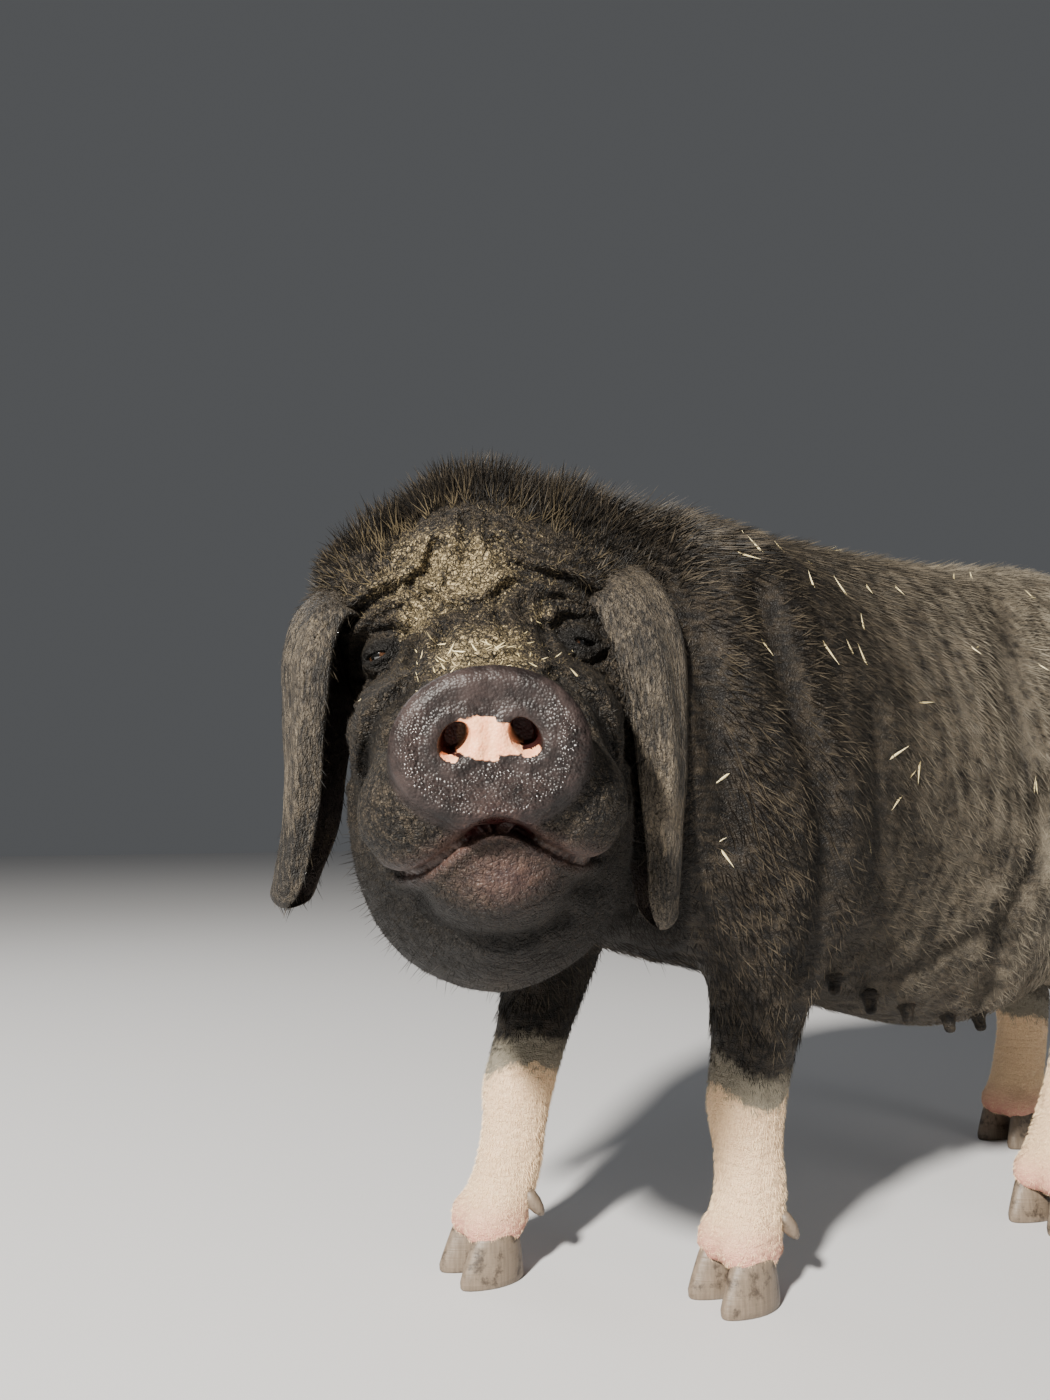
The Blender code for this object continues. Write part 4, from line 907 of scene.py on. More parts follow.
class Nodes:
    """A short hand for building one material's node tree."""

    def __init__(self, name: str) -> None:
        """Starts a material with its Principled shader."""
        self.material = bpy.data.materials.new(name)
        self.material.use_nodes = True
        self.tree = self.material.node_tree
        self.shader = self.tree.nodes["Principled BSDF"]
        self.place = self.add("ShaderNodeTexCoord", {}, "Object")

    def add(self, kind: str, inputs: Dict, output: object, **settings: object) -> Signal:
        """Adds a node and gives one of its outputs."""
        return Signal(self, add_node(self.tree, kind, inputs, **settings).outputs[output])

    def read(self, name: str) -> Signal:
        """A number stored on the surface."""
        return self.add("ShaderNodeAttribute", {}, "Fac", attribute_name=name)

    def stretched(self, scale: Triple) -> Signal:
        """Object coordinates scaled along each axis."""
        return self.add("ShaderNodeMapping", {"Scale": scale, "Vector": self.place}, "Vector")

    def warped(self, place: Signal, scale: float, reach: float) -> Signal:
        """Coordinates pushed about by a cloudy noise, so that cells lose their evenness."""
        push = self.add("ShaderNodeTexNoise", {"Scale": scale, "Vector": place}, "Color")
        inputs = {0: push, 1: (reach,) * 3, 2: place}
        return self.add("ShaderNodeVectorMath", inputs, 0, operation="MULTIPLY_ADD")

    def noise(self, place: Signal, scale: float, detail: float = 4.0, rough: float = 0.55) -> Signal:
        """A cloudy number."""
        inputs = {"Scale": scale, "Detail": detail, "Roughness": rough, "Vector": place}
        return self.add("ShaderNodeTexNoise", inputs, "Fac")

    def waves(self) -> Signal:
        """Broad waves that the hide shares with its hair, along which the painted sheen falls."""
        return self.noise(self.warped(self.stretched((12.0, 30.0, 9.0)), 0.6, 0.5), 3.0, 3.0, 0.6)

    def cells(self, place: Signal, scale: float, feature: str = "F1") -> Signal:
        """The distance within rounded cells."""
        return self.add(
            "ShaderNodeTexVoronoi", {"Scale": scale, "Vector": place}, "Distance", feature=feature
        )

    def plates(self, place: Signal, bend: Pair, scale: float, band: Pair) -> Signal:
        """Zero in the cracks between bent cells, and one on the cells.

        Args:
            place: Coordinates.
            bend: Scale and reach of the noise that bends them.
            scale: How small the cells are.
            band: The distances from a crack at which it ends and the cell begins.
        """
        return self.band(self.cells(self.warped(place, *bend), scale, "DISTANCE_TO_EDGE"), *band)

    def math(self, operation: str, a: object, b: object) -> Signal:
        """One sum on numbers or signals."""
        return self.add("ShaderNodeMath", {0: a, 1: b}, 0, operation=operation)

    def band(self, value: Signal, low: float, high: float) -> Signal:
        """Runs smoothly from 0 at low to 1 at high."""
        inputs = {"From Min": low, "From Max": high, "Value": value}
        return self.add("ShaderNodeMapRange", inputs, "Result", interpolation_type="SMOOTHSTEP")

    def mix(self, share: object, first: object, second: object) -> Signal:
        """Mixes two colours."""
        return self.add("ShaderNodeMix", {0: share, 6: first, 7: second}, 2, data_type="RGBA")

    def relief(self, *layers: Tuple[Signal, float, float]) -> Signal:
        """Raises the surface's shading by layers of height, strength and distance."""
        normal = None
        for height, strength, distance in layers:
            inputs = {"Strength": strength, "Distance": distance, "Height": height, "Normal": normal}
            normal = self.add("ShaderNodeBump", inputs, "Normal")
        return normal

    def finish(
        self, colour: object, roughness: object, relief: Optional[Signal] = None, **others: float
    ) -> Material:
        """Joins colour, roughness, relief and other values to the shader."""
        named = {name.replace("_", " "): value for name, value in others.items()}
        inputs = {"Base Color": colour, "Roughness": roughness, "Normal": relief, **named}
        for name, value in inputs.items():
            feed(self.tree, self.shader.inputs[name], value)
        return self.material


@dataclass(frozen=True)
class SkinFinish:
    """Near black hide with pale socks, a wet snout and dust on the brow, marked by numbers on the surface;
    its lighter streaks, raised skin and flank are painted highlights and sheen, and its creases, openings
    and throat carry painted shade.
    """

    hide: Triple = (0.0040, 0.0032, 0.0026)
    # lighter hide along the streaks: painted highlights
    hide_light: Triple = (0.038, 0.0290, 0.0190)
    shaded: Triple = (0.003, 0.0025, 0.0022)
    # lighter hide for wear on the flank, and painted highlights on raised skin of the face
    worn_sheen: Triple = (0.085, 0.066, 0.044)
    # painted sheen of the hide on ribs and haunch
    painted_sheen: Triple = (0.215, 0.182, 0.134)
    grey: Triple = (0.185, 0.165, 0.125)
    sock: Triple = (0.68, 0.460, 0.285)
    sock_hair: Triple = (0.82, 0.610, 0.375)
    toe: Triple = (0.64, 0.29, 0.23)
    snout: Triple = (0.0085, 0.0062, 0.0060)
    snout_light: Triple = (0.036, 0.0255, 0.0235)
    pink: Triple = (0.84, 0.34, 0.18)
    pink_light: Triple = (0.96, 0.50, 0.28)
    dust: Triple = (0.092, 0.070, 0.034)
    dust_light: Triple = (0.45, 0.355, 0.200)
    lip: Triple = (0.026, 0.0145, 0.0145)
    lip_light: Triple = (0.135, 0.078, 0.059)
    # near black red in the nostrils and between the lips: painted shade in the openings
    mouth: Triple = (0.020, 0.0050, 0.0045)
    specular: float = 0.23

    def build(self) -> Material:
        """Builds the skin's material."""
        n = Nodes("sow_hide")
        broad = n.noise(n.place, 7.0)
        streaks = n.noise(n.stretched((34.0, 9.0, 16.0)), 7.0, 5.0, 0.65)
        fine = n.noise(n.stretched((150.0, 40.0, 90.0)), 5.0, 3.0, 0.6)
        ripples = n.noise(n.warped(n.stretched((7.0, 10.0, 34.0)), 1.2, 0.9), 5.0, 4.0, 0.6)
        ribs = n.noise(n.stretched((3.0, 7.0, 2.5)), 5.0, 3.0, 0.5)
        wrinkles = n.plates(n.place, (60.0, 0.012), 105.0, (0.0, 0.30))
        plates = n.plates(n.place, (150.0, 0.004), 520.0, (0.0, 0.22))
        pebbles = 1.0 - n.cells(n.place, 560.0)
        patch = n.noise(n.place, 190.0, 5.0, 0.75)
        bald = n.math("MAXIMUM", n.read("snout"), n.math("MAXIMUM", n.read("lip"), n.read("cavity")))
        haired = (1.0 - bald).clamped()
        face = n.read("face") * haired

        # Lighter streaks along the hair's lie and its ripples: painted highlights on the hide.
        lit = streaks * 0.60 + ripples * 0.50
        colour = n.mix(n.band(lit, 0.44, 0.76), self.hide, self.hide_light)
        # Mid-height flank behind the shoulder, lighter on the same streaks: wear with painted sheen.
        colour = n.mix(n.read("rubbed") * n.band(lit, 0.50, 0.72), colour, self.worn_sheen)
        # Ribs and haunch lighter along broad waves, where the light falls best: painted sheen.
        sheen = n.waves() * 0.7 + streaks * 0.3
        colour = n.mix(n.read("flank") * n.band(sheen, 0.30, 0.72), colour, self.painted_sheen)
        # Painted shade: darker in the creases, the groove of the lips, round the eyes and under the jaw.
        colour = n.mix(n.read("crease") * 0.85, colour, self.shaded)
        # Raised spots of the face lighter as painted highlights, held out of the painted shade; the cracks
        # between plates keep the dark hide as painted shade.
        mottle = n.noise(n.place, 330.0, 3.0, 0.6)
        raised = n.band(mottle, 0.47, 0.62) * (face * 0.60)
        colour = n.mix((raised * (1.0 - n.read("crease"))).clamped(), colour, self.worn_sheen)
        colour = n.mix((1.0 - plates) * (face * 0.70), colour, self.hide)
        clouds = n.noise(n.place, 400.0, 3.0, 0.7) * 1.7 + n.noise(n.place, 34.0) * 0.95
        cover = n.read("dust") + (clouds - 1.53)
        cracks = n.plates(n.place, (90.0, 0.007), 290.0, (0.01, 0.17))
        dust = (n.band(cover, 0.42, 0.84) * (0.10 + cracks * 0.90)).clamped()
        colour = n.mix(dust, colour, n.mix(n.band(patch, 0.41, 0.62), self.dust, self.dust_light))
        ragged = n.read("sock") + (streaks - 0.5) * 0.30
        colour = n.mix(n.band(ragged, 0.14, 0.34), colour, self.grey)
        pale = n.mix(n.band(fine, 0.4, 0.7), self.sock, self.sock_hair)
        pale = n.mix(n.read("toe"), pale, self.toe)
        colour = n.mix(n.band(ragged, 0.54, 0.62), colour, pale)
        snout = n.mix(n.band(n.noise(n.place, 55.0, 5.0, 0.65), 0.36, 0.70), self.snout, self.snout_light)
        edge = n.read("pink") + (n.noise(n.place, 95.0, 4.0, 0.6) - 0.5) * 0.9
        pink = n.band(edge, 0.46, 0.60)
        snout = n.mix(pink, snout, n.mix(n.band(patch, 0.3, 0.7), self.pink, self.pink_light))
        colour = n.mix(n.read("snout"), colour, snout)
        bare = n.mix(n.band(broad * 0.5 + patch * 0.5, 0.38, 0.66), self.lip, self.lip_light)
        # The lips give way to the painted shade of the creases.
        colour = n.mix(n.read("lip") * (1.0 - n.read("crease") * 0.8), colour, bare)
        # Near black red inside the nostrils and between the lips: painted shade in the openings, the pink
        # flesh left low in the nostrils.
        colour = n.mix(n.read("cavity") * (1.0 - pink), colour, self.mouth)

        dry = 0.66 - lit * 0.22
        rim_wet = n.read("wet") * n.band(n.noise(n.place, 75.0, 4.0, 0.7), 0.36, 0.58)
        rough = dry + face * 0.08 - n.read("snout") * 0.10 - rim_wet * 0.34 - n.read("lip") * 0.16
        glints = (bald * (0.35 + n.read("wet") * 0.65)).clamped()
        relief = n.relief(
            (ribs, 0.45, 0.0120),
            (ripples * haired, 0.60, 0.0050),
            (wrinkles * face, 0.75, 0.0022),
            (streaks * haired, 0.35, 0.0020),
            (plates * haired, 0.60, 0.0010),
            (cracks * face, 0.70, 0.0016),
            (pebbles * glints, 0.85, 0.0014),
            (n.noise(n.place, 75.0, 3.0) * bald, 0.40, 0.0030),
        )
        return n.finish(colour, rough, relief, Specular_IOR_Level=self.specular)


@dataclass(frozen=True)
class HairFinish:
    """Bristle colours, from near black to grey-brown, and pale on the socks, with painted sheen on ribs and
    haunch and painted shade in the creases.
    """

    root: Triple = (0.0036, 0.0029, 0.0023)
    tip: Triple = (0.044, 0.0345, 0.0235)
    sunned_highlight: Triple = (0.105, 0.085, 0.058)
    # painted sheen of the hair on ribs and haunch
    flank: Triple = (0.47, 0.412, 0.318)
    grey: Triple = (0.23, 0.205, 0.155)
    pale: Triple = (0.82, 0.615, 0.385)
    dust: Triple = (0.19, 0.148, 0.082)
    roughness: float = 0.52
    specular: float = 0.15

    def build(self) -> Material:
        """Builds the bristles' material."""
        n = Nodes("sow_bristle")
        along, shade, flank = n.read("hair_along"), n.read("hair_shade"), n.read("flank")
        clumps = n.noise(n.stretched((26.0, 8.0, 24.0)), 3.0, 4.0, 0.6)
        waves = n.waves()
        # Tips lighter than roots on random tufts, lifted further on the broad waves as painted sheen bands.
        lift = ((0.15 + along * 0.85) * n.band(shade, 0.30, 1.0)).clamped()
        lift = (lift * (0.25 + n.band(waves, 0.40, 0.60) * 1.15)).clamped()
        colour = n.mix(lift, self.root, self.tip)
        # Painted sheen: paler hair on ribs and haunch along the broad waves.
        sheen_share = n.band(waves, 0.33, 0.68) * 0.62 + shade * 0.38
        sheen_share = sheen_share * (0.35 + along * 0.65)
        colour = n.mix((sheen_share * flank).clamped(), colour, self.flank)
        # Paler brown tips on random clumps: sun-bleached hair that also stands in for painted highlights
        # along the strands.
        sunned_highlight = n.band(shade * 0.50 + clumps, 0.78, 1.04) * along
        sunned_highlight = sunned_highlight * (1.0 - flank) * (1.0 - n.read("face"))
        colour = n.mix(sunned_highlight, colour, self.sunned_highlight)
        # Painted shade: tufts in the creases, round the eyes and under the jaw fall to the root colour.
        colour = n.mix(n.read("crease") * 0.80, colour, self.root)
        colour = n.mix((n.read("dust") * n.band(shade, 0.62, 0.90)).clamped(), colour, self.dust)
        ragged = n.read("sock") + (shade - 0.5) * 0.25
        colour = n.mix(n.band(ragged, 0.20, 0.42), colour, self.grey)
        colour = n.mix(n.band(ragged, 0.54, 0.66), colour, self.pale)
        return n.finish(colour, self.roughness, Specular_IOR_Level=self.specular)


@dataclass(frozen=True)
class EarFinish:
    """Soft grey ear skin with fine creases, painted highlights along its streaks, painted shade in its
    wrinkles and hollow, and dust along its folds where they are lit.
    """

    dark: Triple = (0.0085, 0.0068, 0.0052)
    # painted highlights along the ear's streaks
    light: Triple = (0.155, 0.125, 0.088)
    # darker red inner skin, partly painted shade of the hollow
    inside: Triple = (0.022, 0.0125, 0.0110)
    dust: Triple = (0.26, 0.20, 0.110)
    roughness: float = 0.58
    specular: float = 0.40

    def build(self) -> Material:
        """Builds the ears' material."""
        n = Nodes("sow_ear")
        broad = n.noise(n.place, 14.0)
        streaks = n.noise(n.warped(n.stretched((95.0, 95.0, 17.0)), 2.0, 0.6), 4.0, 5.0, 0.68)
        wrinkles = n.plates(n.stretched((1.9, 1.9, 0.62)), (55.0, 0.016), 250.0, (0.0, 0.22))
        plates = n.plates(n.place, (120.0, 0.004), 560.0, (0.0, 0.25))
        # Lighter along the lengthwise streaks: painted highlights on the ear.
        lit = streaks * 0.62 + broad * 0.45
        colour = n.mix(n.band(lit, 0.43, 0.68), self.dark, self.light)
        # Painted shade in the cracks between the wrinkles.
        colour = n.mix((1.0 - wrinkles) * 0.42, colour, self.dark)
        # The inner side darker and redder: its own skin, darkened further as painted shade of the hollow.
        colour = n.mix(n.read("inner") * 0.80, colour, self.inside)
        # Dust on the ridges, only where the streaks carry painted highlights.
        lit_dust = n.band(lit, 0.50, 0.66) * n.band(n.noise(n.place, 240.0, 4.0, 0.7), 0.44, 0.66)
        lit_dust = lit_dust * (plates * n.band(n.noise(n.place, 20.0, 3.0), 0.36, 0.66))
        colour = n.mix(lit_dust * 0.75, colour, self.dust)
        colour = n.mix(n.read("face") * 0.85, colour, SkinFinish.hide_light)
        relief = n.relief(
            (broad, 0.30, 0.0080),
            (streaks, 0.80, 0.0042),
            (wrinkles, 0.70, 0.0016),
            (plates, 0.55, 0.0009),
        )
        return n.finish(colour, self.roughness, relief, Specular_IOR_Level=self.specular)


@dataclass(frozen=True)
class HornFinish:
    """Worn horn of the hooves and dewclaws, ringed round and streaked downwards."""

    dark: Triple = (0.130, 0.098, 0.070)
    light: Triple = (0.190, 0.146, 0.106)
    muddy: Triple = (0.050, 0.036, 0.025)

    def build(self) -> Material:
        """Builds the horn's material."""
        n = Nodes("sow_horn")
        rings = n.noise(n.stretched((4.0, 4.0, 420.0)), 1.0, 3.0, 0.6)
        streaks = n.noise(n.stretched((420.0, 420.0, 24.0)), 1.0, 4.0, 0.6)
        mud = n.noise(n.place, 70.0, 5.0, 0.7)
        colour = n.mix(n.band(streaks, 0.30, 0.75), self.dark, self.light)
        colour = n.mix(n.band(mud, 0.50, 0.66), colour, self.muddy)
        relief = n.relief((rings, 0.4, 0.0012), (streaks, 0.18, 0.0004))
        return n.finish(colour, 0.34 + mud * 0.35, relief)


@dataclass(frozen=True)
class EyeFinish:
    """A dark brown iris round a black pupil, behind a wet surface, with a thin white rim."""

    iris: Triple = (0.020, 0.009, 0.005)
    iris_light: Triple = (0.062, 0.029, 0.013)
    pupil: Triple = (0.003, 0.003, 0.003)
    edge: Triple = (0.020, 0.012, 0.010)
    white: Triple = (0.26, 0.19, 0.165)
    roughness: float = 0.12

    def build(self) -> Material:
        """Builds the eyes' material."""
        n = Nodes("sow_eye")
        away = n.read("from_pupil")
        iris = n.mix(n.band(n.noise(n.place, 900.0, 3.0), 0.35, 0.7), self.iris, self.iris_light)
        colour = n.mix(n.band(away, 0.30, 0.36), self.pupil, iris)
        colour = n.mix(n.band(away, 0.62, 0.68), colour, self.edge)
        colour = n.mix(n.band(away, 0.80, 0.95), colour, self.white)
        return n.finish(colour, self.roughness, Coat_Weight=1.0, Coat_Roughness=0.03)


@dataclass(frozen=True)
class StrawFinish:
    """Dry straw, bleached along its length."""

    dark: Triple = (0.30, 0.225, 0.085)
    light: Triple = (0.74, 0.62, 0.33)
    bleached: Triple = (0.80, 0.72, 0.46)
    roughness: float = 0.45

    def build(self) -> Material:
        """Builds the straw's material."""
        n = Nodes("straw")
        tint = n.mix(n.read("hair_shade"), self.dark, self.light)
        return n.finish(n.mix(n.read("hair_along") * 0.35, tint, self.bleached), self.roughness)


@dataclass(frozen=True)
class ToothFinish:
    """Yellowed enamel."""

    enamel: Triple = (0.78, 0.70, 0.52)
    stained: Triple = (0.52, 0.40, 0.24)
    roughness: float = 0.28

    def build(self) -> Material:
        """Builds the teeth's material."""
        n = Nodes("sow_tooth")
        stain = n.noise(n.stretched((300.0, 300.0, 90.0)), 1.0, 3.0)
        return n.finish(n.mix(n.band(stain, 0.4, 0.7), self.enamel, self.stained), self.roughness)


class Markings:
    """The markings, painted sheen and painted shade among them, and the lie of the coat, worked out from
    where a point lies.
    """

    def __init__(self, form: SowForm) -> None:
        """Keeps the form whose frames the markings follow, and the heights of the socks."""
        self.form = form
        self.sock_tops = dict(zip(Limb, (0.168, 0.166, 0.150, 0.150)))

    def sock(self, points: Array) -> Array:
        """How pale the leg is: one on the socks, falling to zero above them."""
        x, y, z = points.T
        pale = np.zeros(len(points))
        for limb, top in self.sock_tops.items():
            foot = self.form.feet[limb]
            near = np.hypot(x - foot[0], y - foot[1] - 0.02) < 0.13
            wave = 0.010 * np.sin(x * 90.0) + 0.008 * np.sin(y * 70.0 + 1.0)
            pale = np.maximum(pale, near * np.clip(0.58 + (top + wave * 0.6 - z) / 0.075, 0, 1))
        return pale

    def snout(self, local: Array) -> Array:
        """One on the snout disc, falling off over its rim."""
        x, y, z = local.T
        ring = self.form.snout_oval(x, z)
        front = smooth_step((self.form.snout_y + 0.026 - y) / 0.010)
        return front * smooth_step((0.006 - ring) / 0.006)

    def pink(self, local: Array) -> Array:
        """The pink patch between the nostrils, wider above."""
        x, y, z = local.T
        u = (x + 0.0005) / 0.0185
        v = (z + 0.0735 + 0.0020 * u) / np.where(x > 0.004, 0.0095, 0.0118)
        patch = np.clip(1.0 - 0.5 * (np.abs(u) ** 3 + np.abs(v) ** 3), 0.0, 1.0)
        for side in Side:
            nx, nz = self.form.nostril_plane(local, side)
            lower = hill((nx + 0.0015 * side.value) / 0.0075, (nz + 0.0088) / 0.0046)
            depth = y - self.form.snout_y
            patch = np.maximum(patch, 0.85 * lower * (depth > 0.0035) * (depth < 0.0135))
        return patch * (y < self.form.snout_y + 0.025)

    def dust(self, local: Array) -> Array:
        """Dust on the brow and the bridge of the nose."""
        x, y, z = local.T
        brow = hill((x + 0.016) / 0.088, (z - 0.056) / np.where(z > 0.056, 0.062, 0.050))
        bulges = hill((np.abs(x) - 0.044) / 0.026, (z - 0.024) / 0.024) * np.where(x > 0, 0.70, 1.0)
        bridge = 1.1 * hill(x / 0.050, (z + 0.016) / 0.034)
        upward = smooth_step((0.050 - y) / 0.04) * (y > -0.205)
        return np.clip(1.05 * np.maximum(np.maximum(brow, bridge), bulges), 0, 1) * upward

    def wet(self, local: Array) -> Array:
        """The moist ring inside the snout's rim, and the strip below the nostrils."""
        x, y, z = local.T
        ring = self.form.snout_oval(x, z)
        round_rim = hill((ring + 0.0125) / 0.0055)
        strip = hill(x / 0.030, (z - self.form.snout_z + 0.020) / 0.010)
        below = smooth_step((0.026 - (z - self.form.snout_z)) / 0.016)
        return np.clip(round_rim * below + strip, 0, 1) * (y < self.form.snout_y + 0.02)

    def flank(self, points: Array) -> Array:
        """How much painted sheen the coat gets: least on the neck, most on ribs and haunch."""
        y, z = points[:, 1], points[:, 2]
        behind = smooth_step((y + 0.24) / 0.46)
        upper = smooth_step((0.66 - z) / 0.10) * smooth_step((z - 0.17) / 0.08)
        return behind * (0.75 + 0.25 * smooth_step(y / 0.25)) * (0.45 + 0.55 * upper)

    def mouth_line(self, local: Array) -> Array:
        """One in the groove between the lips."""
        x, y, z = local.T
        off = z - self.form.mouth_height(x)
        return hill(off / 0.0028) * self.form.lip_front(y)

    def socket(self, local: Array) -> Array:
        """One round the eyes, where the skin lies in shade and is moist."""
        x, y, z = local.T
        away = np.hypot((np.abs(x) - self.form.eye_centre[0]) / 0.021, z / 0.0135)
        return smooth_step((1.25 - away) / 0.6) * (np.abs(y) < 0.05)

    def toe(self, points: Array) -> Array:
        """The redder skin low on the feet."""
        return smooth_step((0.075 - points[:, 2]) / 0.045)

    def lip(self, local: Array) -> Array:
        """The bare purple-pink skin of lips and chin."""
        x, y, z = local.T
        off = z - self.form.mouth_height(x)
        lips = hill(off / 0.009) * smooth_step((-0.115 - y) / 0.03)
        chin = hill((x - 0.006) / 0.030, (z + 0.150) / 0.020) * (y < -0.12)
        return np.clip(np.maximum(lips, 0.85 * chin), 0, 1)

    def cavity(self, local: Array, outside: Array) -> Array:
        """One inside the nostrils and between the lips."""
        x, y, z = local.T
        inside = np.zeros(len(local))
        for side in Side:
            nx, nz = self.form.nostril_plane(local, side)
            size = np.hypot(nx / self.form.nostril_half[0], nz / self.form.nostril_half[1])
            deep = smooth_step((y - self.form.snout_y - 0.0045) / 0.006)
            inside = np.maximum(inside, deep * (size < 1.3) * (y < -0.185))
        off = np.abs(z - self.form.mouth_height(x))
        wide = np.abs(x - self.form.parting[0]) < self.form.parting[1] * 1.15
        mouth = smooth_step((0.0046 - off) / 0.002) * (y < -0.15) * wide * (outside < -0.004)
        return np.maximum(inside, mouth)

    def lie(self, points: Array, local: Array) -> Array:
        """The direction in which the coat lies, not yet laid on the surface."""
        x, y, z = points.T
        side = np.sign(x - self.form.spine_x(y))
        drop = 0.30 + 0.55 * smooth_step((0.60 - z) / 0.25)
        flow = np.stack([0.15 * side, np.ones_like(x), -drop], 1)
        flow[:, 2] += np.sin(y * 17.0 + z * 10.0) * 0.28 + np.sin(y * 8.0 - z * 21.0 + 2.0) * 0.20
        flow[:, 0] += 0.35 * side * smooth_step((z - 0.60) / 0.05)
        low = smooth_step((0.34 - z) / 0.12)[:, None]
        leg = np.stack([np.zeros_like(x), 0.15 * np.ones_like(x), -np.ones_like(x)], 1)
        near_leg = np.zeros(len(points))
        for limb in Limb:
            foot = self.form.feet[limb]
            away = np.hypot(x - foot[0], y - foot[1] - 0.03)
            near_leg = np.maximum(near_leg, smooth_step((0.15 - away) / 0.05))
        share = low * near_leg[:, None]
        flow = flow * (1 - share) + leg * share
        turn = np.array(self.form.head.to_3x3())
        lx, ly, lz = local.T
        brow = np.stack([0.35 * lx / 0.09, np.ones_like(lx), 0.55 * np.ones_like(lx)], 1)
        jaw = np.stack([0.2 * lx / 0.09, np.ones_like(lx), -0.35 * np.ones_like(lx)], 1)
        below = smooth_step((-0.06 - lz) / 0.06)[:, None]
        face = brow * (1 - below) + jaw * below
        on_head = smooth_step((0.10 - ly) / 0.06)[:, None] * (np.abs(lx) < 0.16)[:, None]
        return flow * (1 - on_head) + (face @ turn.T) * on_head


@dataclass
class SkinBuilder:
    """The one skin over all the flesh."""

    form: SowForm
    placement: Placement
    coat_depth: float = 0.0012
    base_voxel: float = 0.0095
    swelling: float = 0.0006
    slope_step: float = 0.0004
    flesh_nodes: Tuple[str, ...] = (
        "torso",
        "neck",
        "head",
        "lower_jaw",
        "leg_fore_left",
        "leg_fore_right",
        "leg_hind_left",
        "leg_hind_right",
    )

    def settle(self, mesh: Mesh, passes: int, limit: float = 0.012) -> None:
        """Moves a mesh's points onto the form, a coat's depth inside it.

        Args:
            mesh: The mesh in the frame of the solids.
            passes: How many times to step.
            limit: The longest step.
        """
        points = read_points(mesh) - self.placement.array
        step = self.slope_step
        for _ in range(passes):
            here = self.form.distance(points)
            slope = (
                np.stack([self.form.distance(points + step * axis) - here for axis in np.eye(3)], 1) / step
            )
            size = np.maximum(np.linalg.norm(slope, axis=1), 0.5)
            move = np.clip((here + self.coat_depth) / size, -limit, limit)
            points -= slope / size[:, None] * move[:, None]
        write_points(mesh, points + self.placement.array)

    def relax(self, mesh: Mesh, chosen: Callable[[Array], Array], times: int) -> None:
        """Evens out the spacing of points where chosen says."""
        edges = np.empty(len(mesh.edges) * 2, np.int32)
        mesh.edges.foreach_get("vertices", edges)
        edges = edges.reshape(-1, 2)
        points = read_points(mesh)
        count = np.bincount(edges.ravel(), minlength=len(points)).astype(float)
        share = chosen(points)[:, None]
        for _ in range(times):
            total = np.zeros_like(points)
            for a, b in ((0, 1), (1, 0)):
                for k in range(3):
                    total[:, k] += np.bincount(
                        edges[:, a], weights=points[edges[:, b], k], minlength=len(points)
                    )
            points += (total / count[:, None] - points) * 0.5 * share
        write_points(mesh, points)

    def refine(self, mesh: Mesh, wanted: Callable[[Array], Array]) -> None:
        """Splits the faces whose middle is wanted."""
        with editing(mesh) as work:
            middles = np.array([face.calc_center_median() for face in work.faces])
            keep = wanted(middles)
            edges = {edge for face, chosen in zip(work.faces, keep) if chosen for edge in face.edges}
            bmesh.ops.subdivide_edges(work, edges=list(edges), cuts=1, use_grid_fill=True)
            bmesh.ops.triangulate(work, faces=[f for f in work.faces if len(f.verts) > 4])

    def head_local(self, points: Array) -> Array:
        """Points of the solids' frame read in the head's frame."""
        return into_frame(points - self.placement.array, self.form.head)

    def on_face(self, points: Array) -> Array:
        """Whether points lie on the face."""
        local = self.head_local(points)
        return (local[:, 1] < 0.060) & (np.abs(local[:, 0]) < 0.125) & (local[:, 2] < 0.16)

    def on_fine(self, points: Array) -> Array:
        """Whether points lie by the eyes, nostrils or lips."""
        local = self.head_local(points)
        x, y, z = np.abs(local[:, 0]), local[:, 1], local[:, 2]
        eye = np.hypot(x - self.form.eye_centre[0], z) < 0.021
        eye &= np.abs(y + 0.012) < 0.022
        nose = (y < self.form.snout_y + 0.022) & (np.hypot(x - 0.0182, z - self.form.snout_z) < 0.019)
        mouth = (np.abs(z - self.form.mouth_height(local[:, 0])) < 0.008) & (y < -0.12) & (x < 0.066)
        return eye | nose | mouth

    def build(self) -> Object:
        """Builds the skin from the flesh nodes and draws it onto the form."""
        work = bmesh.new()
        for name in self.flesh_nodes:
            work.from_mesh(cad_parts[name].data)
        bmesh.ops.remove_doubles(work, verts=work.verts, dist=1e-6)
        normals = [vert.normal.copy() for vert in work.verts]
        for vert, normal in zip(work.verts, normals):
            vert.co += normal * self.swelling
        mesh = bpy.data.meshes.new("sow_skin")
        work.to_mesh(mesh)
        work.free()
        skin = place_object("sow_skin", mesh)
        for voxel, passes in ((self.base_voxel * 1.3, 5), (self.base_voxel, 4)):
            fuse = skin.modifiers.new("fuse", "REMESH")
            fuse.mode = "VOXEL"
            fuse.voxel_size = voxel
            bake(skin)
            self.settle(skin.data, passes)
        self.keep_outer(skin.data)
        face, fine = (self.on_face, 0.006, 0.004, 1.0), (self.on_fine, 0.003, 0.002, 0.6)
        for chosen, first_limit, last_limit, evening in (face, face, fine):
            self.refine(skin.data, chosen)
            self.settle(skin.data, 3, first_limit)
            self.relax(skin.data, lambda p: chosen(p) * evening, 2)
            self.settle(skin.data, 2, last_limit)
        self.refine(skin.data, self.on_slits)
        self.settle(skin.data, 2, 0.0015)
        self.carve(skin.data)
        skin.data.shade_smooth()
        return skin

